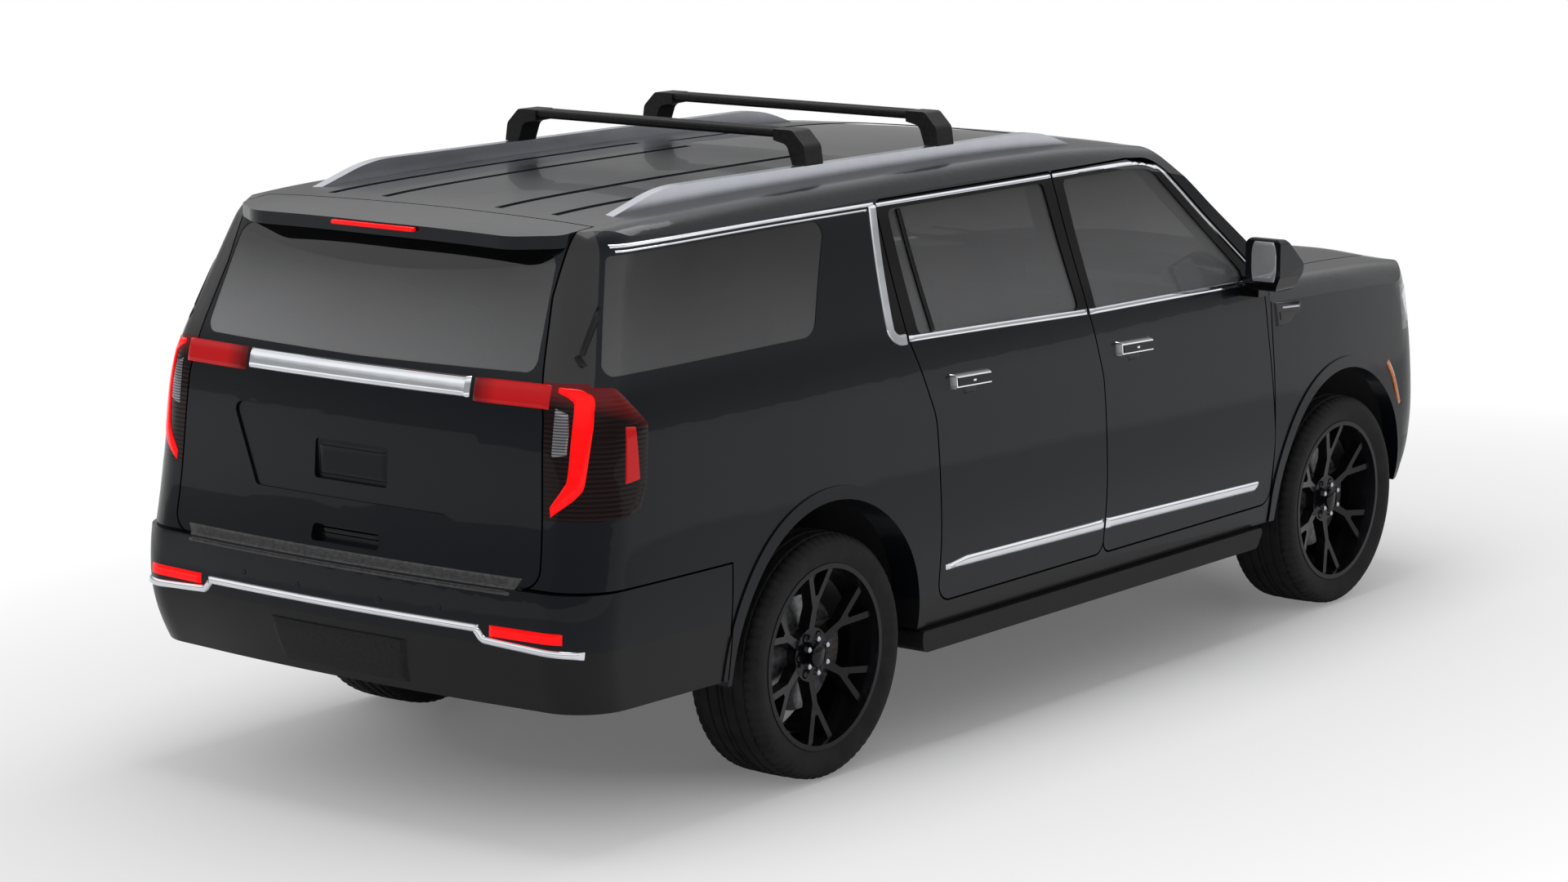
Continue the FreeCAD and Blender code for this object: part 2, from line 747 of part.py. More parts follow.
# Wheels
def turned(profile):
    """A solid of revolution about a wheel's axle; the profile is given as (radius, distance across)."""
    points = [V(0, across, radius) for radius, across in profile]
    wire = Part.makePolygon(points + [points[0]])
    return Part.Face(wire).revolve(V(0, 0, 0), V(0, 1, 0), 360)


def tyre_shape():
    half = tyre_width / 2
    bead = rim_width / 2 - flange_width - 5
    shares = [
        (rim_flange_radius + 3, -bead / half),
        (rim_flange_radius + 14, -0.9),
        (0.86 * tyre_radius, -0.995),
        (0.955 * tyre_radius, -0.93),
        (0.99 * tyre_radius, -0.74),
        (tyre_radius, -0.4),
        (tyre_radius, 0.0),
    ]
    side = [V(0, share * half, radius) for radius, share in shares]
    spline = Part.BSplineCurve()
    spline.interpolate(side + [V(0, -p.y, p.z) for p in reversed(side[:-1])])
    low = rim_seat_radius + seat_clearance
    seat = [V(0, bead, side[0].z), V(0, bead, low), V(0, 0.7 * half, low), V(0, 0.72 * half, 0.9 * tyre_radius)]
    seat += [V(0, -p.y, p.z) for p in reversed(seat)]
    wire = Part.Wire([spline.toShape(), *Part.makePolygon(seat).Edges])
    return Part.Face(wire).revolve(V(0, 0, 0), V(0, 1, 0), 360)


def spoke_prism(turn, reach):
    """One spoke seen from the street: a stem that splits in two towards the rim, narrower at the front."""
    edge = rim_seat_radius + 2
    shape = [
        (17.0, 60.0),
        (15.0, 165.0),
        (74.0, edge * 0.96),
        (46.0, edge),
        (4.0, 205.0),
    ]
    wires = []
    for across, draft in ((0.0, 5.0), (reach, -6.0)):
        drafts = (draft, draft, draft, -draft, -draft)
        half = [V(u + more, across, v) for (u, v), more in zip(shape, drafts)]
        points = half + [V(-p.x, p.y, p.z) for p in reversed(half)]
        wires.append(Part.makePolygon(points + [points[0]]))
    prism = Part.makeLoft(wires, True, True)
    prism.rotate(V(0, 0, 0), V(0, 1, 0), turn)
    return prism


def rim_shape():
    """Barrel, hub and split spokes, centred on the wheel's middle plane with the street side at +Y."""
    half = rim_width / 2
    barrel = [
        (rim_flange_radius, half),
        (rim_flange_radius, half - flange_width),
        (rim_seat_radius, half - flange_width - 4),
        (rim_seat_radius, -half + flange_width + 4),
        (rim_flange_radius, -half + flange_width),
        (rim_flange_radius, -half),
        (rim_seat_radius - 6, -half),
        (rim_seat_radius - 14, -half + 22),
        (rim_seat_radius - 30, 20.0),
        (rim_seat_radius - 12, half - 30),
        (rim_seat_radius - 4, half),
    ]
    face = [
        (0.0, 66.0),
        (hub_radius + 20, 66.0),
        (190.0, 84.0),
        (rim_seat_radius - 6, 104.0),
        (rim_seat_radius - 6, 66.0),
        (190.0, 46.0),
        (hub_radius + 26, 22.0),
        (0.0, 22.0),
    ]
    cutter = [cylinder_y(0, 0, hub_radius + 24, 0.0, half)]
    for index in range(spoke_count):
        cutter.append(spoke_prism(index * 360 / spoke_count, half))
    spokes = turned(face).common(fused(cutter))
    hub = cylinder_y(0, 0, hub_radius, 0.0, 30.0)
    studs = []
    wells = []
    for index in range(spoke_count):
        angle = math.radians(index * 360 / spoke_count + 90 + 180 / spoke_count)
        x = stud_circle_radius * math.cos(angle)
        z = stud_circle_radius * math.sin(angle)
        wells.append(cylinder_y(x, z, stud_radius + 5, 50.0, half))
        studs.append(cylinder_y(x, z, stud_radius, 40.0, 68.0))
    rim = fused([turned(barrel), spokes, hub]).cut(Part.makeCompound(wells))
    return fused([rim] + studs)


def build_wheels():
    tyre = tyre_shape()
    disc_side = disc_y - wheel_y
    disc = cylinder_y(0, 0, disc_radius, disc_side - disc_thickness / 2, disc_side + disc_thickness / 2)
    hat = cylinder_y(0, 0, hub_radius - 10, disc_side, 10.0)
    shaft = cylinder_y(0, 0, shaft_radius, knuckle_inner + 10 - wheel_y, disc_side)
    rim = fused([rim_shape(), disc, hat, shaft])
    for axle, x in (("front", front_axle_x), ("rear", rear_axle_x)):
        for side, way in (("left", 1), ("right", -1)):
            for name, shape in (("tyre", tyre), ("rim", rim)):
                placed = shape.copy() if way > 0 else mirrored(shape)
                placed.translate(V(x, way * wheel_y, tyre_radius))
                save(f"{name}_{axle}_{side}", placed)


knuckle_inner = 740.0
shaft_radius = 34.0
kingpin_radius = 16.0
kingpin_reach = 34.0
knuckle_reach = 112.0
kingpin_y = 774.0
arm_thickness = 24.0


def knuckle(x):
    """Wheel carrier with its brake caliper, on the left."""
    inner_face = disc_y - disc_thickness / 2 - working_gap
    outer_face = disc_y + disc_thickness / 2 + working_gap
    upright = box(x - 55, x + 55, knuckle_inner, inner_face, tyre_radius - knuckle_reach, tyre_radius + knuckle_reach)
    caliper = cylinder_y(x, tyre_radius, disc_radius + 34, inner_face - 34, outer_face + 32)
    slot = cylinder_y(x, tyre_radius, disc_radius + working_gap, inner_face, outer_face)
    bore = cylinder_y(x, tyre_radius, disc_radius - 62, inner_face, outer_face + 100)
    wedge = box(x + 90, x + disc_radius + 60, 0.0, far / 4, tyre_radius - 90, tyre_radius + 90)
    caliper = caliper.cut(slot).cut(bore).common(wedge)
    bracket = box(x, x + 150, knuckle_inner + 6, inner_face, tyre_radius - 60, tyre_radius + 60)
    bearing = cylinder_y(x, tyre_radius, shaft_radius + bearing_clearance, knuckle_inner - 10, inner_face + 10)
    body = fused([upright, caliper, bracket]).cut(bearing)
    for way in (1, -1):
        end = tyre_radius + way * knuckle_reach
        low = min(end, end - way * (kingpin_reach + seat_clearance))
        socket = kingpin_reach + seat_clearance
        body = body.cut(Part.makeCylinder(kingpin_radius + bearing_clearance, socket, V(x, kingpin_y, low)))
    return body


def suspension_arms(x):
    """Upper and lower arms on the left, with the pins that the wheel carrier turns on."""
    pieces = []
    for way in (1, -1):
        near = tyre_radius + way * (knuckle_reach + seat_clearance)
        far_side = near + way * arm_thickness
        low = min(near, far_side)
        wide = arm_half_width
        plate = along_z(
            [(x - wide, rail_outer - 12), (x + wide, rail_outer - 12), (x + 26, kingpin_y + 26), (x - 26, kingpin_y + 26)],
            [8, 8, 24, 24],
            low,
            low + arm_thickness,
        )
        pin_low = min(near, near - way * kingpin_reach)
        pin = Part.makeCylinder(kingpin_radius, kingpin_reach, V(x, kingpin_y, pin_low))
        pieces += [plate, pin]
    hanger_low = tyre_radius - knuckle_reach - seat_clearance - arm_thickness
    pieces.append(box(x - 50, x + 50, rail_outer - 40, rail_outer, hanger_low, rail_high))
    return pieces


liner_inner = 474.0
liner_wall = 18.0
arm_half_width = 50.0
load_floor_rear = -2540.0
load_floor_front = -1760.0
load_floor_half = 430.0
load_floor_top = floor_top + 18
sill_inner = 880.0
rail_inner = 380.0
rail_outer = 470.0
rail_low = 480.0
rail_high = 612.0


def build_frame():
    pieces = []
    for way in (1, -1):
        low = min(way * rail_inner, way * rail_outer)
        pieces.append(box(-2600.0, 2560.0, low, low + rail_outer - rail_inner, rail_low, rail_high))
    for x in (-2560.0, -1900.0, -1180.0, -300.0, 600.0, 1500.0, 2120.0):
        pieces.append(box(x, x + 90, -rail_inner - 10, rail_inner + 10, rail_low + 20, rail_high - 20))
    for x in (front_axle_x, rear_axle_x):
        arms = suspension_arms(x)
        pieces += arms + [mirrored(arm) for arm in arms]
    beam = box(2500.0, 2800.0, -rail_outer, rail_outer, rail_low + 10, rail_high - 10)
    pieces.append(beam.common(nose_volume(fender_wall + seat_clearance)))
    rear_beam = box(rear_end, -2540.0, -rail_outer, rail_outer, rail_low + 10, rail_high - 10)
    pieces.append(rear_beam.common(bumper_volume(bumper_wall + seat_clearance)))
    for x in (-900.0, 100.0, 1000.0):
        for way in (1, -1):
            reach = half_width - 170
            low = min(way * (rail_outer - 10), way * reach)
            pieces.append(box(x, x + 80, low, low + reach - rail_outer + 10, rail_low + 20, rail_low + 90))
    save("ladder_frame", fused(pieces))


def wheelhouse(x, way):
    """The liner over one wheel, the space inside it and the room that it needs in the floor."""
    reach = half_width - 30
    low = min(way * liner_inner, way * reach)
    high = max(way * liner_inner, way * reach)
    centre_z = tyre_radius + arch_rise
    liner = cylinder_y(x, centre_z, arch_radius + liner_wall, low, high)
    cut_low = low + (liner_wall if way > 0 else -overrun)
    cut_high = high - (liner_wall if way < 0 else -overrun)
    space = cylinder_y(x, centre_z, arch_radius, cut_low, cut_high)
    room_low = low - (seat_clearance if way > 0 else overrun)
    room_high = high + (seat_clearance if way < 0 else overrun)
    room = cylinder_y(x, centre_z, arch_radius + liner_wall + seat_clearance, room_low, room_high)
    slot_low = tyre_radius + knuckle_reach - working_gap
    slot_reach = liner_inner + liner_wall + working_gap
    slot = box(
        x - arm_half_width - working_gap,
        x + arm_half_width + working_gap,
        -slot_reach,
        slot_reach,
        slot_low,
        slot_low + arm_thickness + 2 * working_gap,
    )
    above = box(-far, far, -far, far, rail_low, highest)
    return liner.common(above).cut(space).cut(slot), room


# Where the floor and the wall ahead of the cabin meet
seam_half = 800.0
seam_top = 1200.0


def build_floor():
    wide = half_width - overrun
    slab = box(rear_end, firewall_x, -wide, wide, floor_bottom, floor_top)
    load_floor = box(load_floor_rear, load_floor_front, -load_floor_half, load_floor_half, floor_top, load_floor_top)
    wall = box(firewall_x, firewall_x + floor_thickness, -wide, wide, floor_bottom, windscreen_base_z - 40)
    cowl = box(firewall_x, hood_rear - 30, -wide, wide, windscreen_base_z - 68, windscreen_base_z - 40)
    pieces = [slab, load_floor, wall, cowl]
    for way in (1, -1):
        low = min(way * sill_inner, way * wide)
        high = max(way * sill_inner, way * wide)
        pieces.append(box(rear_door_rear_low, firewall_x, low, high, body_bottom + 20, floor_top))
    liners = []
    rooms = []
    for x in (rear_axle_x, front_axle_x):
        for way in (1, -1):
            liner, room = wheelhouse(x, way)
            liners.append(liner)
            rooms.append(room)
    inside = cabin_volume(side_wall + seat_clearance).common(box(-far, firewall_x, -far, far, 0.0, highest))
    behind_bumper = box(-far, bumper_side_front, -far, far, 0.0, tailgate_bottom)
    behind_bumper = behind_bumper.cut(bumper_volume(bumper_wall + seat_clearance))
    under_ledge = below_hood(hood_depth + ledge_depth + seat_clearance)
    ahead = nose_volume(fender_wall + seat_clearance).common(under_ledge)
    floor = fused(pieces).cut(Part.makeCompound(rooms))
    seam = box(firewall_x - floor_thickness, firewall_x + floor_thickness, -seam_half, seam_half, 0.0, seam_top)
    floor = floor.common(inside).fuse(floor.common(seam)).fuse(floor.common(ahead))
    save("floor_pan", floor.cut(behind_bumper))
    rear_liners = Part.makeCompound(liners[:2]).common(inside).cut(behind_bumper)
    save("wheel_liners", rear_liners, Part.makeCompound(liners[2:]).common(ahead))


def seat(x, y, wide, base, back_height):
    cushion = [(x - 60, base), (x + 470, base), (x + 490, base + 150), (x - 40, base + 120)]
    back = [(x - 60, base + 90), (x + 90, base + 90), (x - 40, base + back_height), (x - 160, base + back_height)]
    head = [
        (x - 165, base + back_height + 20),
        (x - 50, base + back_height + 20),
        (x - 70, base + back_height + 190),
        (x - 165, base + back_height + 190),
    ]
    pieces = [
        along_y(cushion, 34, y - wide / 2, y + wide / 2),
        along_y(back, 40, y - wide / 2, y + wide / 2),
        along_y(head, 34, y - 130, y + 130),
        box(x - 120, x - 95, y - 60, y + 60, base + back_height - 40, base + back_height + 60),
        box(x + 20, x + 400, y - 180, y + 180, floor_top + seat_clearance, base + 30),
    ]
    return fused(pieces)


def build_seats():
    base = floor_top + 150
    rows = []
    for way in (1, -1):
        rows.append(seat(380.0, way * 410.0, 520.0, base, 600.0))
        rows.append(seat(-560.0, way * 410.0, 520.0, base + 20, 600.0))
        rows.append(seat(-1500.0, way * 234.0, 456.0, base + 20, 560.0))
    save("seats", *rows)


def build_dashboard():
    back = firewall_x - seat_clearance
    points = [(1000.0, 880.0), (back, 780.0), (back, 1240.0), (1180.0, 1260.0), (960.0, 1160.0)]
    dash = along_y(points, 40, -820.0, 820.0)
    low = floor_top + seat_clearance
    console_points = [(150.0, low), (1100.0, low), (1060.0, 1000.0), (150.0, 960.0)]
    console = along_y(console_points, 50, -140.0, 140.0)
    wheel = Part.makeTorus(178, 16, V(0, 0, 0), V(0, 0, 1))
    hub = Part.makeCylinder(60, 40, V(0, 0, -20))
    spokes = [box(-185.0, 185.0, -22.0, 22.0, -10.0, 10.0), box(-22.0, 22.0, -185.0, 0.0, -10.0, 10.0)]
    column = Part.makeCylinder(28, 420, V(0, 0, -420))
    steering = fused([wheel, hub, column] + spokes)
    steering.rotate(V(0, 0, 0), V(0, 1, 0), -64)
    steering.translate(V(800.0, 410.0, 1180.0))
    save("dashboard", fused([dash, console, steering]))


def build_engine():
    save("engine_block", box(1480.0, 2250.0, -300.0, 300.0, rail_high - 20 + seat_clearance, 1150.0))


roof_rail_top = roof_height + 34
roof_rail_inner = 622.0
roof_rail_width = 40.0
rail_rear = -2290.0
rail_front = 480.0
rail_end_rise = 300.0
bar_feet_x = (-1190.0, -420.0)
bar_top = 2132.0
bar_thickness = 30.0
bar_half = 40.0


def build_roof_rails():
    low = roof_height - 90
    side_shape = [
        (rail_rear, low),
        (rail_front, low),
        (rail_front, low + 30),
        (rail_front - rail_end_rise, roof_rail_top),
        (rail_rear + rail_end_rise, roof_rail_top),
        (rail_rear, low + 40),
    ]
    left = along_y(side_shape, [5, 5, 5, 700, 700, 5], roof_rail_inner, roof_rail_inner + roof_rail_width)
    save_both("roof_rails", left.cut(below_roof(-seat_clearance)))


def build_crossbars():
    """Each bar is a flat beam on two cranked feet that stand on the rails."""
    foot_low = roof_rail_top + seat_clearance
    outer = roof_rail_inner + roof_rail_width
    foot_shape = [
        (roof_rail_inner - 8, foot_low),
        (outer + 12, foot_low),
        (outer + 2, bar_top - 52),
        (outer - 50, bar_top),
        (outer - 130, bar_top),
        (outer - 130, bar_top - bar_thickness - 8),
        (outer - 72, bar_top - bar_thickness - 20),
    ]
    shapes = []
    for x in bar_feet_x:
        beam_points = [
            (x - bar_half, bar_top - bar_thickness),
            (x + bar_half, bar_top - bar_thickness),
            (x + bar_half, bar_top),
            (x - bar_half, bar_top),
        ]
        pieces = [along_y(beam_points, 11, -outer + 100, outer - 100)]
        foot = along_x(foot_shape, [4, 4, 30, 24, 4, 4, 30], x - bar_half - 8, x + bar_half + 8)
        shapes.append(fused(pieces + [foot, mirrored(foot)]))
    save("crossbars", *shapes)


mirror_inner = 1046.0
mirror_outer = 1198.0
board_rear = -1030.0
board_front = 1240.0
board_top = 412.0


def build_running_boards():
    points = [
        (board_rear, board_top - 76),
        (board_front - 50, board_top - 76),
        (board_front, board_top),
        (board_rear, board_top),
    ]
    deck = along_y(points, [30, 30, 16, 16], half_width - 190, half_width - 6)
    pieces = [deck]
    for x in (-900.0, 100.0, 1000.0):
        bracket_top = rail_low + 20 - seat_clearance
        pieces.append(box(x + 10, x + 70, half_width - 188, half_width - 174, board_top - 20, bracket_top))
    save_both("running_boards", fused(pieces))


def build_mirrors():
    base = belt_front - 8
    points = [(1020.0, base), (1160.0, base - 14), (1200.0, base + 90), (1070.0, base + 196), (1020.0, base + 200)]
    head = along_y(points, [30, 30, 30, 24, 14], mirror_inner, mirror_outer)
    front_shape = [
        (mirror_inner, base + 6),
        (mirror_outer - 30, base - 16),
        (mirror_outer + 2, base + 60),
        (mirror_outer + 2, base + 202),
        (mirror_inner, base + 202),
    ]
    head = head.common(along_x(front_shape, [24, 40, 60, 34, 34], 900.0, front_door_front))
    arm = box(1080.0, 1150.0, half_width - 90, mirror_inner + 25, base - 36, base + 40)
    arm = arm.cut(box(0.0, far, 0.0, half_width - 30, base, far / 2))
    save_pair("mirror", arm.cut(cabin_volume(-seat_clearance)).fuse(head))


def main():
    os.makedirs("parts", exist_ok=True)
    outer = cabin_volume(0.0).common(below_roof(0.0)).common(behind_windscreen(0.0))
    inner = cabin_volume(side_wall).common(below_roof(roof_wall)).common(behind_windscreen(roof_wall))
    shell = outer.cut(inner)
    shell = shell.cut(box(rear_end, cabin_front + overrun, -far / 4, far / 4, 0.0, body_bottom))
    sunroof = build_roof(shell)
    side = build_tail_lamps(build_sides(shell))
    save_both("body_sides", side)
    front_door = door_body(outer, front_door_outline, front_door_radii, front_window_outline, front_window_radii)
    save_pair("front_door", front_door)
    save_pair("rear_door", door_body(outer, rear_door_outline, rear_door_radii, rear_window_outline, 26))
    quarter = build_glass()
    screen = along_x(windscreen_outline, 60, roof_front - 300, windscreen_base_x + 200, -seat_clearance)
    screen = screen.common(behind_windscreen(screen_flush)).cut(behind_windscreen(screen_flush + glass_thickness))
    save("fixed_glass", sunroof, quarter, mirrored(quarter), screen)
    build_tailgate(outer)
    build_front()
    build_bumper()
    build_wheels()
    save_pair("front_knuckle", knuckle(front_axle_x))
    save_both("rear_knuckles", knuckle(rear_axle_x))
    build_frame()
    build_floor()
    build_seats()
    build_dashboard()
    build_engine()
    build_roof_rails()
    build_crossbars()
    build_running_boards()
    build_mirrors()


if __name__ == "__main__":
    main()
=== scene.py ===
import copy
import math

import bmesh
import bpy
import numpy as np
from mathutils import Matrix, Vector
from mathutils.bvhtree import BVHTree


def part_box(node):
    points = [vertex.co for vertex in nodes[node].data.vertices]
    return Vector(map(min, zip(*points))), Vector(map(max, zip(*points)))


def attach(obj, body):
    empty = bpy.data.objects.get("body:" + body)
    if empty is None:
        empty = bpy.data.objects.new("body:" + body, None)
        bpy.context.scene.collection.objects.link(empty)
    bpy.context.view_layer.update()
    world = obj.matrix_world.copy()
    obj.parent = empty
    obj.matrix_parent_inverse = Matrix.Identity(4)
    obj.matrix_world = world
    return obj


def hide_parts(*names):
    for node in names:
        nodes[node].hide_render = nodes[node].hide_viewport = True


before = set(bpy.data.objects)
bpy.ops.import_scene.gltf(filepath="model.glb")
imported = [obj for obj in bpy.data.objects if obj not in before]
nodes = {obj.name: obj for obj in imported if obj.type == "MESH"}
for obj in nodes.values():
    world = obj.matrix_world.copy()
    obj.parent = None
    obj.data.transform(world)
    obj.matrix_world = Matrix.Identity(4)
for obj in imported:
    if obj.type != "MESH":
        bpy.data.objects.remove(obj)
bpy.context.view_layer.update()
scene = bpy.context.scene
bothSides = (("left", 1), ("right", -1))
milli = 0.001


# camera

cameraSetup = {
    "place": (-12.248, -9.000, 3.595),
    "headingDegrees": 37.41,
    "pitchDegrees": -10.36,
    "lens": 94.24,
}


def makeCamera(setup):
    data = bpy.data.cameras.new("camera")
    data.lens = setup["lens"]
    data.sensor_width = 36
    data.clip_end = 200
    camera = bpy.data.objects.new("camera", data)
    scene.collection.objects.link(camera)
    heading = math.radians(setup["headingDegrees"])
    pitch = math.radians(setup["pitchDegrees"])
    look = Vector((math.cos(pitch) * math.cos(heading), math.cos(pitch) * math.sin(heading), math.sin(pitch)))
    camera.location = setup["place"]
    camera.rotation_euler = look.to_track_quat("-Z", "Y").to_euler()
    scene.camera = camera


makeCamera(cameraSetup)


# shader helpers


class Sock:
    def __init__(self, tree, socket):
        self.tree = tree
        self.socket = socket

    def mathNode(self, operation, *values, clamp=False):
        inputs = dict(enumerate(values))
        return self.tree.add("ShaderNodeMath", inputs, operation=operation, use_clamp=clamp)

    def __abs__(self):
        return self.mathNode("ABSOLUTE", self)

    def wave(self):
        return self.mathNode("SINE", self)

    def above(self, edge, soft=0.002):
        return self.mathNode("MULTIPLY", self - edge + 0.5 * soft, 1 / soft, clamp=True)

    def below(self, edge, soft=0.002):
        return 1 - self.above(edge, soft)

    def part(self, name):
        return Sock(self.tree, self.socket.node.outputs[name])


for name, operation in (("add", "ADD"), ("sub", "SUBTRACT"), ("mul", "MULTIPLY")):
    setattr(Sock, f"__{name}__", lambda one, two, kind=operation: one.mathNode(kind, one, two))
    setattr(Sock, f"__r{name}__", lambda one, two, kind=operation: one.mathNode(kind, two, one))


def linear(*screen):
    # a screen colour, 0 to 255, as the shader wants it
    shares = [value / 255 for value in screen]
    return [share / 12.92 if share <= 0.04045 else ((share + 0.055) / 1.055) ** 2.4 for share in shares] + [1]


class Tree:
    def __init__(self, holder):
        holder.use_nodes = True
        self.nodes = holder.node_tree.nodes
        self.links = holder.node_tree.links

    def add(self, kind, inputs=None, output=0, **settings):
        node = self.nodes.new(kind)
        for name, value in settings.items():
            setattr(node, name, value)
        for name, value in (inputs or {}).items():
            self.feed(node.inputs[name], value)
        return Sock(self, node.outputs[output])

    def feed(self, socket, value):
        if isinstance(value, Sock):
            self.links.new(value.socket, socket)
        else:
            socket.default_value = linear(*value) if isinstance(value, tuple) else value

    def where(self):
        return self.add("ShaderNodeTexCoord").part("Object")

    def place(self):
        split = self.add("ShaderNodeSeparateXYZ", {0: self.where()})
        return split.part("X"), split.part("Y"), split.part("Z")

    def mix(self, factor, low, high):
        return self.add("ShaderNodeMix", {"Factor": factor, 6: low, 7: high}, 2, data_type="RGBA")

    def noise(self, scale, detail=4.0):
        return self.add("ShaderNodeTexNoise", {"Vector": self.where(), "Scale": scale, "Detail": detail})

    def cells(self, scale):
        return self.add("ShaderNodeTexVoronoi", {"Vector": self.where(), "Scale": scale})

    def ramp(self, factor, *stops):
        made = self.add("ShaderNodeValToRGB", {"Fac": factor})
        for element, (place, colour) in zip(made.socket.node.color_ramp.elements, stops):
            element.position = place
            element.color = linear(*colour)
        return made

    def bump(self, height, distance, strength=1.0):
        return self.add("ShaderNodeBump", {"Height": height, "Distance": distance, "Strength": strength})


def material(name, build, **fixed):
    made = bpy.data.materials.new(name)
    tree = Tree(made)
    shader = tree.nodes["Principled BSDF"]
    for socket, value in fixed.items():
        tree.feed(shader.inputs[socket.replace("_", " ")], value)
    for socket, value in build(tree).items():
        tree.feed(shader.inputs[socket], value)
    return made


# paint and its black zones

paintSetup = {
    "deep": (7, 9, 14),
    "flake": (30, 35, 46),
    "glossBlack": (9, 9, 10),
    "plasticBlack": (22, 22, 23),
    "pillarGrey": (60, 60, 61),
    "rearBelt": (1.4044, -0.0327, -0.013),  # height, slope and where, under the rear door's window
    "frontBelt": (1.400, -0.0170, 0.093),
    "sill": (0.531, -0.0439, -1.081),
    "sillReach": (-1.14, 1.30),
    "beltOverlap": -0.004,
    "pillarReach": (-1.112, 0.3, 1.425, 1.888),
    "coverReach": (-2.474, 1.462, 1.93),
    "bumperEdges": {"rear": 0.648, "front": 0.600},
    "mirrorEdge": (0.22, 1.19),
}


def paintLook(tree, zones=()):
    flake = tree.noise(1900, 1.5)
    colour = tree.ramp(flake, (0.42, paintSetup["deep"]), (0.78, paintSetup["flake"]))
    metal = 0.10 + flake * 0.15
    rough = 0.26 + tree.noise(6, 2.0) * 0.05
    for mask, zone, zoneRough in zones:
        colour = tree.mix(mask, colour, zone)
        metal = metal * (1 - mask)
        rough = rough * (1 - mask) + mask * zoneRough
    peel = tree.bump(tree.noise(240, 1.0), 0.0003, 0.08)
    return {"Base Color": colour, "Metallic": metal, "Roughness": rough, "Normal": peel}


def lineHeight(line, x):
    height, slope, start = line
    return height + (x - start) * slope


def zoned(zone, tone, rough):
    # paint with one zone in another tone
    return lambda tree: paintLook(tree, [(zone(*tree.place()), paintSetup[tone], rough)])


def doorZone(belt):
    return lambda x, y, z: (z - lineHeight(paintSetup[belt], x)).above(paintSetup["beltOverlap"])


def bumperZone(end):
    return lambda x, y, z: z.below(paintSetup["bumperEdges"][end])


def mirrorZone(x, y, z):
    slope, edge = paintSetup["mirrorEdge"]
    return (z - x * slope).below(edge)


def sidesLook(tree):
    x, y, z = tree.place()
    back, ahead = paintSetup["sillReach"]
    sill = (z - lineHeight(paintSetup["sill"], x)).below(0) * x.above(back) * x.below(ahead)
    back, ahead, low, high = paintSetup["pillarReach"]
    pillar = (x + (1.9 - z) * 0.1).above(back) * z.above(low) * z.below(high) * x.below(ahead)
    ahead, low, high = paintSetup["coverReach"]
    cover = (x - (z - 1.862) * 0.4).below(ahead) * z.above(low) * z.below(high)
    zones = [(sill, paintSetup["plasticBlack"], 0.45), (pillar, paintSetup["glossBlack"], 0.12)]
    zones.append((cover, paintSetup["pillarGrey"], 0.18))
    return paintLook(tree, zones)


coat = {"Coat_Weight": 0.24, "Coat_Roughness": 0.02, "Specular_IOR_Level": 0.15}
bodyPaint = material("body_paint_finish", paintLook, **coat)
frontDoorPaint = material("front_door_paint", zoned(doorZone("frontBelt"), "glossBlack", 0.12), **coat)
rearDoorPaint = material("rear_door_paint", zoned(doorZone("rearBelt"), "glossBlack", 0.12), **coat)
sidesPaint = material("body_sides_paint", sidesLook, **coat)
rearBumperPaint = material("rear_bumper_paint", zoned(bumperZone("rear"), "plasticBlack", 0.4), **coat)
frontBumperPaint = material("front_bumper_paint", zoned(bumperZone("front"), "plasticBlack", 0.4), **coat)
mirrorPaint = material("mirror_paint", zoned(mirrorZone, "glossBlack", 0.15), **coat)


# glass

glassSetup = {
    "tint": (30, 30, 33),
    # the next colour is a painted reflection: a light grey laid over the dark tint, mostly towards the bottom
    "paintedReflectionTint": (170, 171, 173),
    "band": (8, 8, 9),
    "doorAlpha": (0.62, 0.84),
    "quarterAlpha": (0.80, 0.95),
    "rearAlpha": (0.62, 0.86),
    "windscreenAlpha": 0.45,
    "sunroofAlpha": 0.97,
    "frit": (0.13, 1.772),  # how the dark edge bends down sideways, and its height in the middle
    "screenEdges": (1.845, 1.385, 0.78),
    "soft": 0.004,
    # these heights also set where the painted reflection gives way to the dark tint
    "doorRise": (1.42, 1.86),  # heights between which the glass grows denser
    "rearRise": (1.50, 1.80),
    "quarterRise": (1.50, 1.86),
    "rearHalf": 0.8,
    "sunroofHeight": 1.905,
    "screenAhead": 0.70,
    "quartersBehind": -1.0,
}


def glassLook(tree, alpha, band=None, fade=0.0):
    # tinted glass: band is a dark edge, and fade is how far it turns to a light grey painted reflection
    tone = tree.mix(fade + tree.noise(3, 2.0) * 0.06, glassSetup["tint"], glassSetup["paintedReflectionTint"])
    rough = 0.01 + tree.noise(9, 2.0) * 0.01
    if band is not None:
        tone = tree.mix(band, tone, glassSetup["band"])
        alpha = alpha * (1 - band) + band
    return {"Base Color": tone, "Alpha": alpha, "Roughness": rough}


def rise(value, low, high):
    return value.mathNode("MULTIPLY", value - low, 1 / (high - low), clamp=True)


def doorGlassLook(tree):
    low, high = glassSetup["doorAlpha"]
    up = rise(tree.place()[2], *glassSetup["doorRise"])
    # painted reflection: the door glass turns light grey towards the bottom
    return glassLook(tree, low + up * (high - low), fade=0.10 + 0.34 * (1 - up))


def rearGlassLook(tree):
    x, y, z = tree.place()
    low, high = glassSetup["rearAlpha"]
    bend, middle = glassSetup["frit"]
    band = (z - y * y * bend).above(middle, glassSetup["soft"])
    up = rise(z, *glassSetup["rearRise"])
    left = rise(y, -glassSetup["rearHalf"], glassSetup["rearHalf"])
    # painted reflection: the rear glass turns light grey towards the bottom, most on the left
    return glassLook(tree, low + up * (high - low), band, fade=0.06 + (1 - up) * (0.34 + left * 0.6))


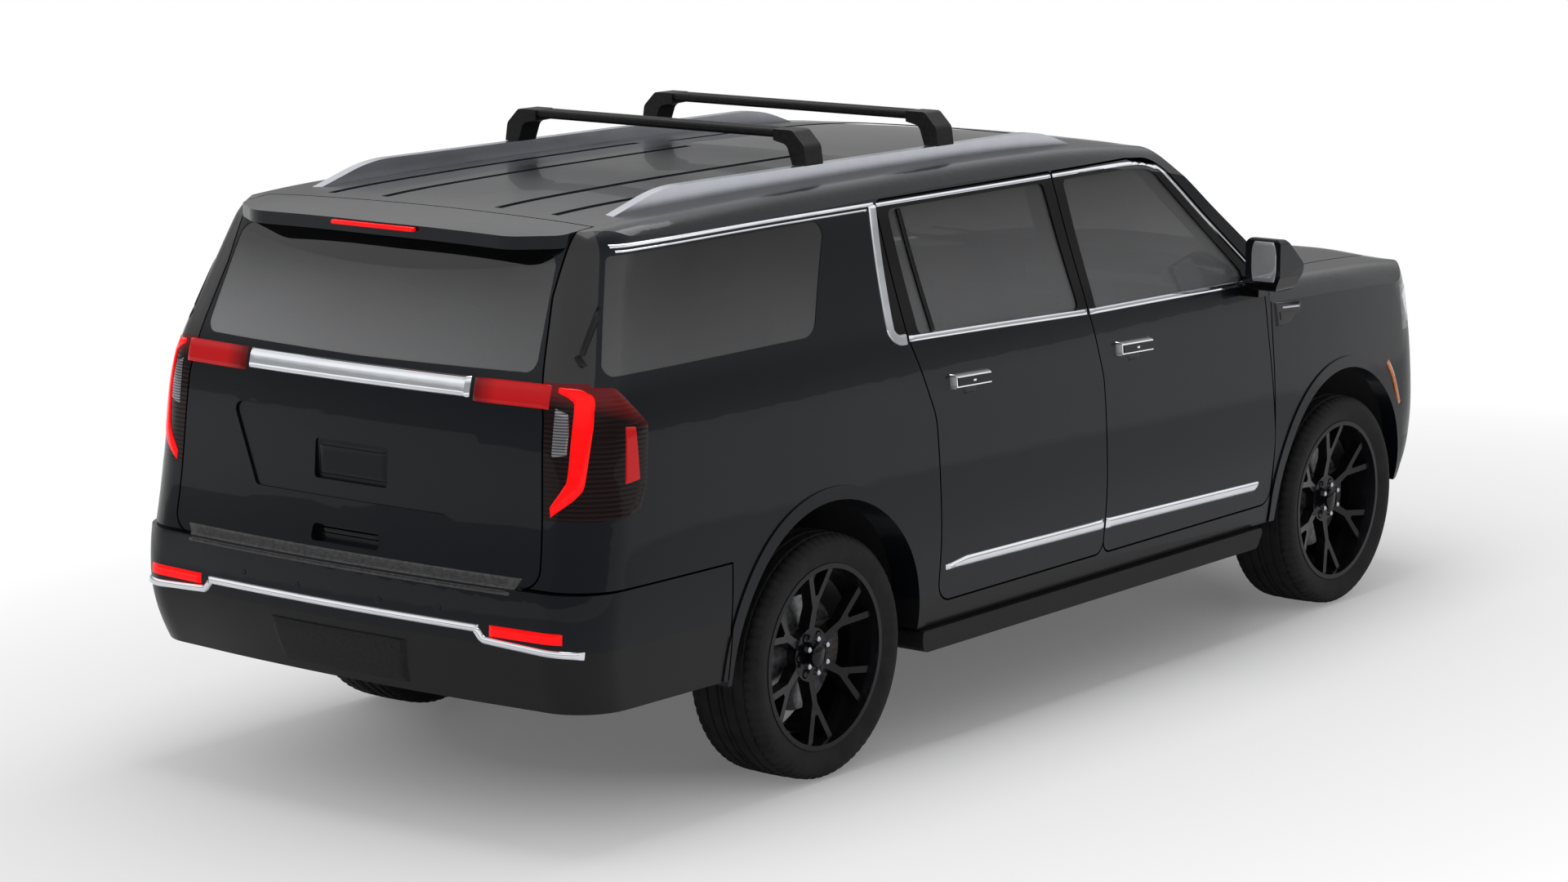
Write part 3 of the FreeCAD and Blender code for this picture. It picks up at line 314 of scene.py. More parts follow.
def fixedGlassLook(tree):
    x, y, z = tree.place()
    low, high = glassSetup["quarterAlpha"]
    up = rise(z, *glassSetup["quarterRise"])
    quarter = low + up * (high - low)
    sunroof = z.above(glassSetup["sunroofHeight"])
    screen = x.above(glassSetup["screenAhead"])
    alpha = quarter * (1 - screen) + screen * glassSetup["windscreenAlpha"]
    top, foot, side = glassSetup["screenEdges"]
    soft = glassSetup["soft"]
    edge = (z.above(top, soft) + (z - x * 0.01).below(foot, soft) + abs(y).above(side, soft)) * screen
    band = edge.mathNode("MULTIPLY", edge, 1.0, clamp=True)
    alpha = alpha * (1 - sunroof) + sunroof * glassSetup["sunroofAlpha"]
    quarters = x.below(glassSetup["quartersBehind"])
    # painted reflection on the quarter windows: light grey towards the bottom
    return glassLook(tree, alpha, band * (1 - sunroof), fade=0.2 * (1 - up) * quarters)


doorGlass = material("door_glass_finish", doorGlassLook, Specular_IOR_Level=0.6)
rearGlass = material("rear_glass_finish", rearGlassLook, Specular_IOR_Level=0.6)
fixedGlass = material("fixed_glass_finish", fixedGlassLook, Specular_IOR_Level=0.6)


# metals, plastics, rubber, leather and lenses


def plain(name, low, high, scale, rough, bump=None, metal=None, detail=4.0, stops=(0.35, 0.68), **fixed):
    # a finish between two screen colours, mottled at one scale
    def build(tree):
        grain = tree.noise(scale, detail)
        made = {"Base Color": tree.ramp(grain, (stops[0], low), (stops[1], high))}
        made["Roughness"] = rough[0] + grain * (rough[1] - rough[0])
        if bump:
            made["Normal"] = tree.bump(tree.cells(bump[0]), bump[1], bump[2])
        if metal is not None:
            made["Metallic"] = metal - grain * 0.03
        return made

    return material(name, build, **fixed)


def tyreLook(tree):
    dust = tree.noise(14, 5.0)
    colour = tree.ramp(dust, (0.3, (24, 24, 25)), (0.75, (42, 42, 42)))
    fine = tree.bump(tree.noise(900, 2.0), 0.0004, 0.4)
    return {"Base Color": colour, "Roughness": 0.62 + dust * 0.2, "Normal": fine}


def discLook(tree):
    grain = tree.noise(60, 6.0)
    colour = tree.ramp(grain, (0.3, (96, 97, 99)), (0.7, (150, 151, 153)))
    return {"Base Color": colour, "Metallic": 0.95 - grain * 0.1, "Roughness": 0.3 + grain * 0.15}


def smokedLook(tree):
    x, y, z = tree.place()
    ribs = (z * 420).wave() * 0.5 + 0.5
    glowing = (z + x * 0.35 + 0.91).above(1.395, 0.05)
    base = tree.mix(ribs, (16, 4, 5), (34, 7, 9))
    colour = tree.mix(glowing, base, (120, 22, 25))
    return {"Base Color": colour, "Roughness": 0.08 + ribs * 0.05, "Normal": tree.bump(ribs, 0.001, 0.35)}


def redLook(tree):
    streak = tree.noise(40, 3.0)
    colour = tree.mix(streak, (214, 2, 5), (246, 14, 14))
    return {"Base Color": colour, "Emission Color": colour, "Roughness": 0.08 + streak * 0.04}


def innerRedLook(tree):
    fade = abs(tree.place()[1]).above(0.54, 0.10)
    colour = tree.mix(fade, (70, 10, 14), (196, 22, 26))
    return {"Base Color": colour, "Emission Color": colour, "Roughness": 0.07 + tree.noise(60, 2.0) * 0.04}


def reverseLook(tree):
    ribs = (tree.place()[2] * 700).wave() * 0.5 + 0.5
    colour = tree.mix(ribs, (78, 76, 80), (168, 168, 174))
    return {"Base Color": colour, "Roughness": 0.12 + ribs * 0.1, "Metallic": 0.5 + ribs * 0.2}


def headlampLook(tree):
    facets = tree.cells(38)
    colour = tree.mix(facets, (34, 36, 40), (96, 99, 104))
    return {"Base Color": colour, "Roughness": 0.05 + facets * 0.08, "Metallic": 0.3 + facets * 0.3}


dull = {"Specular_IOR_Level": 0.22}
lensCoat = {"Coat_Weight": 0.16, "Coat_Roughness": 0.02, "Specular_IOR_Level": 0.12}
plasticGrain = (900, 0.0005, 0.35)
padGrain = (800, 0.0005, 0.4)
castGrain = (300, 0.001, 0.5)
frameGrain = (420, 0.0006, 0.3)
trimGrain = (700, 0.0006, 0.45)
chrome = plain("chrome_finish", (240, 243, 249), (246, 249, 254), 9, (0.05, 0.08), metal=1.0)
satinRail = plain("satin_rail_finish", (196, 199, 207), (202, 205, 212), 12, (0.25, 0.28), metal=1.0)
glossBlack = plain("gloss_black_finish", (10, 10, 12), (18, 18, 20), 24, (0.06, 0.12), **coat)
blackPlastic = plain(
    "grained_plastic_finish", (20, 20, 21), (34, 34, 36), 90, (0.42, 0.58), plasticGrain, **dull
)
greyPlastic = plain("step_pad_finish", (76, 76, 77), (98, 98, 99), 70, (0.4, 0.55), padGrain, **dull)
tyreRubber = material("tyre_rubber_finish", tyreLook, **dull)
wheelBlack = plain("wheel_alloy_finish", (20, 20, 23), (38, 38, 42), 1500, (0.16, 0.24), metal=0.55, **coat)
discIron = material("brake_disc_finish", discLook)
castIron = plain("cast_iron_finish", (74, 72, 70), (112, 110, 106), 120, (0.5, 0.7), castGrain, 0.8)
chassisBlack = plain("chassis_finish", (20, 20, 21), (40, 39, 38), 40, (0.4, 0.6), frameGrain, **dull)
cabinTrim = plain("cabin_trim_finish", (40, 40, 42), (62, 62, 64), 50, (0.5, 0.65), trimGrain)
leather = {"bump": (240, 0.0006, 0.5), "detail": 5.0, "stops": (0.3, 0.7)}
seatLeather = plain("seat_leather_finish", (96, 95, 94), (124, 122, 119), 8, (0.42, 0.57), **leather)
smokedLens = material("smoked_lens_finish", smokedLook, **lensCoat)
# red lenses glow: lamp light on the tail and brake lamps, and a painted glow on the bumper reflectors, which
# are not lamps
redLens = material("red_lens_finish", redLook, Emission_Strength=0.75, **lensCoat)
innerRed = material("inner_red_finish", innerRedLook, Emission_Strength=0.3, **lensCoat)
reverseLens = material("reverse_lens_finish", reverseLook, **lensCoat)
amberLens = plain("amber_lens_finish", (214, 104, 20), (238, 140, 44), 80, (0.08, 0.12), Coat_Weight=1.0)
headlampLens = material("headlamp_finish", headlampLook, **lensCoat)
mirrorGlass = plain("mirror_glass_finish", (158, 161, 164), (176, 179, 182), 6, (0.02, 0.05), metal=0.35)
lampWhite = plain("lamp_white_finish", (226, 229, 234), (246, 248, 250), 60, (0.1, 0.14), Coat_Weight=0.5)

nodeFinish = {
    "roof_panel": bodyPaint, "hood": bodyPaint, "fenders": bodyPaint, "tailgate": bodyPaint,
    "body_sides": sidesPaint, "rear_bumper": rearBumperPaint, "front_bumper": frontBumperPaint,
    "fixed_glass": fixedGlass, "tailgate_glass": rearGlass,
    "tail_lamps": smokedLens, "headlamps": headlampLens, "grille": glossBlack,
    "floor_pan": cabinTrim, "wheel_liners": blackPlastic, "seats": seatLeather, "dashboard": cabinTrim,
    "engine_block": castIron, "roof_rails": satinRail, "crossbars": blackPlastic,
    "running_boards": blackPlastic, "ladder_frame": chassisBlack, "rear_knuckles": castIron,
}
for side, way in bothSides:
    nodeFinish[f"front_door_{side}"] = frontDoorPaint
    nodeFinish[f"rear_door_{side}"] = rearDoorPaint
    nodeFinish[f"mirror_{side}"] = mirrorPaint
    nodeFinish[f"front_knuckle_{side}"] = castIron
    for axle in ("front", "rear"):
        nodeFinish[f"{axle}_door_glass_{side}"] = doorGlass
        nodeFinish[f"rim_{axle}_{side}"] = wheelBlack
        nodeFinish[f"tyre_{axle}_{side}"] = tyreRubber
for name, node in nodes.items():
    node.data.materials.clear()
    node.data.materials.append(nodeFinish[name])
print("materials", len(nodeFinish))


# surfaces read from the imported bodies


class Surface:
    # outward distance over a plane, looked at along one axis (0, 1 or 2) from the side that way says
    rayStart = 4.0

    def __init__(self, names, axis, way, uRange, vRange, step, lifts=None, close=2):
        self.axis = axis
        self.way = way
        self.step = step * milli
        self.uLow, self.vLow = uRange[0] * milli, vRange[0] * milli
        self.us = np.arange(uRange[0], uRange[1] + step, step) * milli
        self.vs = np.arange(vRange[0], vRange[1] + step, step) * milli
        self.depth = self.fill(self.closed(self.sample(names, lifts or {}), close))

    def sample(self, names, lifts):
        points, faces, owner = [], [], []
        for name in names:
            mesh = nodes[name].data
            start = len(points)
            points.extend(tuple(vertex.co) for vertex in mesh.vertices)
            faces.extend(tuple(start + i for i in face.vertices) for face in mesh.polygons)
            owner.extend([lifts.get(name, 0.0)] * len(mesh.polygons))
        tree = BVHTree.FromPolygons(points, faces)
        look = Vector([-self.way if i == self.axis else 0 for i in range(3)])
        found = np.full((len(self.us), len(self.vs)), np.nan)
        for i, u in enumerate(self.us):
            for j, v in enumerate(self.vs):
                hit = tree.ray_cast(Vector(self.put(u, v, self.rayStart)), look)
                if hit[0] is not None:
                    found[i, j] = hit[0][self.axis] * self.way + owner[hit[2]] * milli
        return found

    def closed(self, found, reach):
        # bridges narrow gaps between panels
        shape = found
        for pick, empty in ((np.fmax, -np.inf), (np.fmin, np.inf)):
            for axis in (0, 1):
                spread = shape
                for shift in range(-reach, reach + 1):
                    spread = pick(spread, np.roll(shape, shift, axis))
                shape = spread
        return np.where(np.isnan(found) | (shape > found), shape, found)

    def fill(self, found):
        for grid, places in ((found.T, self.us), (found, self.vs)):
            for row in grid:
                known = ~np.isnan(row)
                if known.sum() > 1:
                    row[:] = np.interp(places, places[known], row[known])
        return found

    def at(self, u, v):
        a = np.clip((u - self.uLow) / self.step, 0, len(self.us) - 1.001)
        b = np.clip((v - self.vLow) / self.step, 0, len(self.vs) - 1.001)
        i, j = a.astype(int), b.astype(int)
        a, b = a - i, b - j
        grid = self.depth
        low = grid[i, j] * (1 - b) + grid[i, j + 1] * b
        high = grid[i + 1, j] * (1 - b) + grid[i + 1, j + 1] * b
        return low * (1 - a) + high * a

    def put(self, u, v, out):
        place = [u, v]
        place.insert(self.axis, out * self.way)
        return place


sideNames = ["body_sides", "front_door_left", "rear_door_left", "front_door_glass_left"]
sideNames += ["rear_door_glass_left", "fixed_glass", "fenders", "rear_bumper", "front_bumper"]
sideNames += ["tail_lamps", "headlamps"]
glassLifts = {"front_door_glass_left": 8, "rear_door_glass_left": 8, "fixed_glass": 2}
leftSide = Surface(sideNames, 1, 1, (-2840, 2820), (380, 1930), 8, glassLifts)
rightSide = copy.copy(leftSide)
rightSide.way = -1
sideFace = {1: leftSide, -1: rightSide}
rearNames = ["tailgate", "tailgate_glass", "rear_bumper", "tail_lamps", "body_sides"]
rearFace = Surface(rearNames, 0, -1, (-1000, 1000), (400, 1850), 8, {"tailgate_glass": 2}, close=1)
frontNames = ["hood", "headlamps", "grille", "front_bumper", "fenders"]
frontFace = Surface(frontNames, 0, 1, (-1000, 1000), (420, 1250), 8)
print("surfaces")


# mesh helpers


def smoothLine(points, count, corners=False):
    # evenly spaced points along a soft curve through the given ones
    given = np.array(points, float)
    if not corners and len(given) > 2:
        ends = np.vstack([2 * given[0] - given[1], given, 2 * given[-1] - given[-2]])
        fine = []
        for i in range(1, len(ends) - 2):
            a, b, c, d = ends[i - 1 : i + 3]
            bend, twist = 2 * a - 5 * b + 4 * c - d, 3 * b - a - 3 * c + d
            for t in np.linspace(0, 1, 12, endpoint=False):
                fine.append(0.5 * (2 * b + (c - a) * t + bend * t**2 + twist * t**3))
        given = np.array(fine + [ends[-2]])
    run = np.concatenate([[0], np.cumsum(np.linalg.norm(np.diff(given, axis=0), axis=1))])
    where = np.linspace(0, run[-1], count)
    return np.column_stack([np.interp(where, run, given[:, k]) for k in range(given.shape[1])])


def gridFaces(rows, columns, loop=False):
    faces = []
    for i in range(rows - 1):
        for j in range(columns if loop else columns - 1):
            k = (j + 1) % columns
            here, there = i * columns, (i + 1) * columns
            faces.append((here + j, here + k, there + k, there + j))
    return faces


def lineLength(line):
    return np.linalg.norm(np.diff(np.array(line, float), axis=0), axis=1).sum()


def band(surface, first, second, lift, across=6, step=12, bevel=4, sink=4, corners=False):
    # a closed, softly edged strip between two lines on a surface, all in millimetres
    length = max(lineLength(first), lineLength(second))
    count = max(4, int(length / step) + 1)
    a, b = smoothLine(first, count, corners), smoothLine(second, count, corners)
    edgeRun = 0.5 - 0.5 * np.cos(np.linspace(0, 1, across + 1) * math.pi)
    grid = a[:, None, :] * (1 - edgeRun)[None, :, None] + b[:, None, :] * edgeRun[None, :, None]
    wide = np.linalg.norm(a - b, axis=1)[:, None]
    inward = np.minimum(edgeRun, 1 - edgeRun)[None, :] * wide
    run = np.linspace(0, length, count)
    inward = np.minimum(inward, np.minimum(run, length - run)[:, None])
    rounded = np.clip(inward / bevel, 0, 1)
    height = lift * np.sqrt(1 - (1 - rounded) ** 2)
    u, v = grid[..., 0].ravel() * milli, grid[..., 1].ravel() * milli
    base = surface.at(u, v)
    top = [surface.put(*p) for p in zip(u, v, base + height.ravel() * milli)]
    low = [surface.put(*p) for p in zip(u, v, base - sink * milli)]
    total = len(top)
    faces = gridFaces(count, across + 1)
    faces += [tuple(total + k for k in reversed(face)) for face in faces]
    ids = np.arange(total).reshape(count, across + 1)
    rim = np.concatenate([ids[0], ids[1:, -1], ids[-1, -2::-1], ids[-2:0:-1, 0]]).tolist()
    for k, here in enumerate(rim):
        there = rim[(k + 1) % len(rim)]
        faces.append((here, there, total + there, total + here))
    return top + low, faces


def strip(surface, centre, width, lift, **more):
    # a band of even width round a centre line
    step = more.get("step", 12)
    fine = smoothLine(centre, max(4, int(lineLength(centre) / step) + 1), more.get("corners", False))
    along = np.gradient(fine, axis=0)
    along /= np.linalg.norm(along, axis=1)[:, None]
    side = np.column_stack([-along[:, 1], along[:, 0]]) * width / 2
    more["corners"] = True
    return band(surface, fine + side, fine - side, lift, **more)


def slab(surface, box, lift, narrow=1.0, way=1, **more):
    # a band between two level lines, from its start, end, low and high, with the lower line narrowed
    start, end, low, high = box
    upper = [(way * start, high), (way * end, high)]
    lower = [(way * start * narrow, low), (way * end * narrow, low)]
    return band(surface, upper, lower, lift, **more)


def sided(way, line):
    return [(way * y, z) for y, z in line]


def onBothSides(shape, surface, lines, *values, **more):
    # one shape on the left and on the right of a surface
    return [shape(surface, *[sided(way, line) for line in lines], *values, **more) for side, way in bothSides]


def disc(surface, u, v, radius, lift, bevel, count=13, across=8):
    # a round band about one place
    turns = np.linspace(0, math.pi, count)
    over = [(u + radius * math.cos(a), v + radius * math.sin(a)) for a in turns]
    under = [(u + radius * math.cos(a), v - radius * math.sin(a)) for a in turns]
    return band(surface, over, under, lift, across=across, step=4, bevel=bevel)


def lathe(profile, centre, segments=48, turn=None):
    # a ring turned about the y axis from radius and y pairs, closed on itself
    rows = []
    for k in range(segments):
        angle = 2 * math.pi * k / segments
        for index, (radius, y) in enumerate(profile):
            far = radius + (turn(index, k) if turn else 0)
            x, z = centre[0] + far * math.cos(angle), centre[2] + far * math.sin(angle)
            rows.append((x * milli, (centre[1] + y) * milli, z * milli))
    faces = gridFaces(segments + 1, len(profile), loop=True)
    return rows, [tuple(k % len(rows) for k in face) for face in faces]


def softBox(low, high, bevel, segments=3):
    # a block with rounded edges, in millimetres
    mesh = bmesh.new()
    bmesh.ops.create_cube(mesh, size=1)
    low, high = Vector(low), Vector(high)
    for vertex in mesh.verts:
        vertex.co = Vector([low[i] + (vertex.co[i] + 0.5) * (high[i] - low[i]) for i in range(3)])
    bmesh.ops.bevel(mesh, geom=mesh.edges[:], offset=bevel, segments=segments, affect="EDGES", profile=0.5)
    mesh.verts.index_update()
    points = [tuple(v.co * milli) for v in mesh.verts]
    faces = [tuple(v.index for v in face.verts) for face in mesh.faces]
    mesh.free()
    return points, faces


def tube(points, radius, count=30, sides=10, flat=1.0):
    # a round rod along a soft line in space, in millimetres
    line = smoothLine(points, count)
    along = np.gradient(line, axis=0)
    rows = []
    for i, (place, way) in enumerate(zip(line, along)):
        tangent = Vector(way).normalized()
        side = tangent.cross(Vector((0, 0, 1)))
        side = side.normalized() if side.length > 0.05 else Vector((0, 1, 0))
        up = side.cross(tangent)
        for k in range(sides):
            angle = 2 * math.pi * k / sides
            offset = (side * math.cos(angle) + up * math.sin(angle) * flat) * radius
            rows.append(tuple((Vector(place) + offset) * milli))
    faces = gridFaces(count, sides, loop=True)
    faces.append(tuple(range(sides - 1, -1, -1)))
    faces.append(tuple((count - 1) * sides + k for k in range(sides)))
    return rows, faces


def piece(name, parts, finish, body="body", replaced=(), sharp=38):
    # one named object from closed meshes, riding on its body, in its finish's slot
    points, faces = [], []
    for partPoints, partFaces in parts:
        start = len(points)
        points.extend(partPoints)
        faces.extend(tuple(start + k for k in face) for face in partFaces)
    mesh = bpy.data.meshes.new(name)
    mesh.from_pydata([tuple(map(float, p)) for p in points], [], faces)
    work = bmesh.new()
    work.from_mesh(mesh)
    bmesh.ops.recalc_face_normals(work, faces=work.faces[:])
    work.to_mesh(mesh)
    work.free()
    mesh.shade_smooth()
    mesh.set_sharp_from_angle(angle=math.radians(sharp))
    mesh.materials.append(finish)
    made = bpy.data.objects.new(name, mesh)
    scene.collection.objects.link(made)
    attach(made, body)
    if replaced:
        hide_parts(*replaced)
    return made


# bright trim of the sides

trimSetup = {
    "beltWidth": 21, "topWidth": 13, "pillarWidth": 38, "quarterWidths": (11, 7), "lift": 5,
    "lowLift": 13,
    "rearBelt": [(-1050, 1430), (-600, 1416), (35, 1394)],
    "frontBelt": [(53, 1392), (600, 1384), (1215, 1373)],
    "rearTop": [(-1080, 1881), (-500, 1881), (-18, 1881)],
    "frontTop": [
        (-6, 1881), (300, 1881), (500, 1878), (600, 1870),
        (662, 1852), (722, 1823), (1000, 1581), (1218, 1392),
    ],
    "pillar": [(-1106, 1884), (-1122, 1760), (-1146, 1500), (-1140, 1455), (-1110, 1433), (-1064, 1430)],
    "quarterTop": [(-1094, 1886), (-1700, 1886), (-2440, 1880)],
    "quarterLow": [(-1140, 1870), (-1700, 1870), (-2430, 1864)],
    "rearLow": [(-893, 606), (-897, 626), (-780, 641), (97, 628), (97, 588)],
    "frontLow": [(119, 588), (119, 628), (1196, 602), (1166, 564)],
}


def makeSideTrim(side, way):
    surface = sideFace[way]
    setup = trimSetup
    lift = setup["lift"]
    for axle, foot, topStep in (("rear", 4, 12), ("front", 3, 8)):
        low = setup[f"{axle}Low"]
        parts = [
            strip(surface, setup[f"{axle}Belt"], setup["beltWidth"], lift),
            strip(surface, setup[f"{axle}Top"], setup["topWidth"], lift, step=topStep),
            band(surface, low[1:foot], low[::foot], setup["lowLift"], across=8, bevel=20, corners=True),
        ]
        piece(f"{axle}_door_trim_{side}", parts, chrome, f"{axle}_door_{side}")
    wide, fine = setup["quarterWidths"]
    parts = [
        strip(surface, setup["pillar"], setup["pillarWidth"], lift, step=6),
        strip(surface, setup["quarterTop"], wide, lift),
        strip(surface, setup["quarterLow"], fine, lift - 1, bevel=2),
    ]
    piece(f"quarter_trim_{side}", parts, chrome)


# dividers of the rear doors' windows

dividerSetup = {"line": [(-905, 1440), (-960, 1856)], "width": 20, "lift": -1, "sink": 14}


def makeDividers(side, way):
    line, width, lift, sink = dividerSetup.values()
    parts = [strip(sideFace[way], line, width, lift, bevel=5, sink=sink)]
    piece(f"rear_window_divider_{side}", parts, glossBlack, f"rear_door_{side}")


# door handles

handleSetup = {
    "centres": {"rear": (-736, 1253), "front": (309, 1235)}, "tilt": -0.03,
    # start, end and height of the upper and the lower line, then the lift
    "cup": ((-50, 58, -10), (-26, 34, -52), 1.5, {"bevel": 10}, glossBlack),
    "frame": ((-110, 110, 27), (-110, 110, -26), 26, {"across": 8, "step": 6, "bevel": 9}, chrome),
    "grip": ((-104, 104, 20), (-104, 104, -19), 29, {"across": 8, "step": 6, "bevel": 6}, bodyPaint),
    "button": ((-14, 8, 8), (-14, 8, -6), 31, {"step": 3}, chrome),
}


def makeHandles(side, way):
    tilt = handleSetup["tilt"]
    for axle, (x, z) in handleSetup["centres"].items():
        for name in ("cup", "frame", "grip", "button"):
            *ends, lift, more, finish = handleSetup[name]
            lines = [[(x + s, z + rise + tilt * s) for s in (start, end)] for start, end, rise in ends]
            parts = [band(sideFace[way], *lines, lift=lift, **more)]
            piece(f"{axle}_handle_{name}_{side}", parts, finish, f"{axle}_door_{side}")


# wheels: tyres with a cut tread, brake discs, caps and nuts

tyreSetup = {
    "radius": 419, "seat": (306, -104), "segments": 216,
    "ribs": [(-92, -58), (-48, -14), (-5, 5), (14, 48), (58, 92)],
    "groove": 7, "shoulder": 6, "sipe": 2.0, "crown": 0.00022,
    "outside": [(314, -122), (330, -130), (352, -139), (372, -142.5), (392, -139), (404, -130), (411, -121)],
    "edges": [(414.5, 113), (415.5, 101)],
}
wheelSetup = {
    "places": {"front": 1855, "rear": -1552}, "track": 870, "height": 419, "face": 96,
    "disc": [(70, -8), (196, -8), (198, -5), (198, 9), (196, 12), (70, 12), (68, 9), (68, -5)],
    "hat": [(30, -10), (92, -10), (95, 20), (92, 34), (30, 36)], "discShift": 4,
    "cap": [(0.5, 8), (30, 6), (38, 1), (40, -10), (0.5, -10)],
    "nut": [(0.5, 4), (6, 4), (9.5, 1), (10.5, -16), (0.5, -16)], "nuts": 6, "nutCircle": 58,
}


def tyreProfile(setup):
    outside = [setup["seat"]] + setup["outside"]
    tread = [(r, -y) for r, y in setup["edges"]]
    for low, high in setup["ribs"]:
        crown = setup["radius"] - setup["crown"] * max(abs(low), abs(high)) ** 2
        floor = crown - setup["groove"]
        tread += [(floor, low - 1.5), (crown, low + 1), (crown, high - 1), (floor, high + 1.5)]
    tread += reversed(setup["edges"])
    return outside + tread + [(r, -y) for r, y in reversed(outside)]


def makeWheel(axle, side, way):
    setup = wheelSetup
    centre = (setup["places"][axle], way * setup["track"], setup["height"])
    profile = tyreProfile(tyreSetup)

    def blocks(index, turn):
        radius, y = profile[index]
        if 99 <= abs(y) <= 131 and radius > 400:
            return -tyreSetup["shoulder"] if turn % 3 == 0 else 0
        if radius > 412 and abs(y) < 99:
            return -tyreSetup["sipe"] if (turn + index // 4) % 6 == 0 else 0
        return 0

    def turned(shape, start):
        return [(r, start + way * y) for r, y in shape]

    body = f"wheel_{axle}_{side}"
    tyre = [lathe(profile, centre, tyreSetup["segments"], blocks)]
    replaced = [f"tyre_{axle}_{side}"]
    piece(f"tread_tyre_{axle}_{side}", tyre, tyreRubber, body, replaced, sharp=28)
    discCentre = (centre[0], centre[1] - way * setup["discShift"], centre[2])
    rings = [lathe(turned(setup[shape], 0), discCentre, 64) for shape in ("disc", "hat")]
    piece(f"brake_disc_{axle}_{side}", rings, discIron, body)
    face = way * setup["face"]
    cap = [lathe(turned(setup["cap"], face), centre, 48)]
    piece(f"wheel_cap_{axle}_{side}", cap, glossBlack, body)
    nuts = []
    for k in range(setup["nuts"]):
        angle = math.pi / 6 + 2 * math.pi * k / setup["nuts"]
        x, z = setup["nutCircle"] * math.cos(angle), setup["nutCircle"] * math.sin(angle)
        nuts.append(lathe(turned(setup["nut"], face), (centre[0] + x, centre[1], centre[2] + z), 12))
    piece(f"wheel_nuts_{axle}_{side}", nuts, satinRail, body)


for side, way in bothSides:
    makeSideTrim(side, way)
    makeDividers(side, way)
    makeHandles(side, way)
    for axle in wheelSetup["places"]:
        makeWheel(axle, side, way)
print("sides and wheels")


# tail lamps and the bright bar of the tailgate

lampSetup = {
    "red": (
        [(816, 1452), (856, 1432), (872, 1396), (873, 1205), (858, 1156), (818, 1096)],
        [(816, 1468), (885, 1458), (921, 1408), (921, 1196), (902, 1132), (822, 1064)],
    ),
    "reverse": ([(816, 1404), (816, 1330), (816, 1252)], [(858, 1388), (866, 1330), (866, 1262)]),
    "side": ([(-2562, 1345), (-2584, 1160)], [(-2516, 1340), (-2514, 1168)]),
    "cover": (
        [(-2660, 1470), (-2664, 1300), (-2670, 1056)],
        [(-2572, 1462), (-2456, 1340), (-2482, 1150), (-2520, 1082), (-2600, 1056)],
    ),
    "gate": (497, 792, 1398, 1474),
    "bar": (-482, 482, 1408, 1474),
}


def makeLamps():
    setup = lampSetup
    for side, way in bothSides:
        cover = band(sideFace[way], *setup["cover"], lift=3, step=8, corners=True)
        piece(f"tail_lamp_cover_{side}", [cover], smokedLens)
    red = onBothSides(band, rearFace, setup["red"], lift=7, across=8, step=8, bevel=14)
    piece("tail_lamp_red", red, redLens)
    reverse = onBothSides(band, rearFace, setup["reverse"], lift=5, step=8)
    piece("tail_lamp_reverse", reverse, reverseLens)
    sideParts = [band(sideFace[way], *setup["side"], lift=6, step=8) for side, way in bothSides]
    piece("tail_lamp_side", sideParts, innerRed)
    gate = [slab(rearFace, setup["gate"], lift=9, way=way, across=8, bevel=8) for side, way in bothSides]
    piece("tailgate_lamps", gate, innerRed, "tailgate")
    bar = slab(rearFace, setup["bar"], lift=16, across=10, bevel=20)
    piece("tailgate_bar", [bar], chrome, "tailgate")


makeLamps()


# rear bumper: step pad, bright strip, reflectors, sensors and the lower panel

bumperSetup = {
    "padHalf": 735, "padHeight": 800, "padInset": (26, 104), "padRibs": 6, "padMargin": 10,
    "strip": [(-957, 641), (-900, 646), (-655, 660), (-612, 666), (-584, 692), (-540, 697), (0, 697)],
    "stripWidth": 27, "stripLift": 12,
    "reflector": (636, 905, 676, 712),
    "face": (735, 704, 866, 812), "faceRibs": 7, "faceMargins": (8, 7),
    "sensors": [(-430, 744), (-180, 738), (180, 738), (430, 744)],
    "panel": (-300, 300, 470, 622),
}


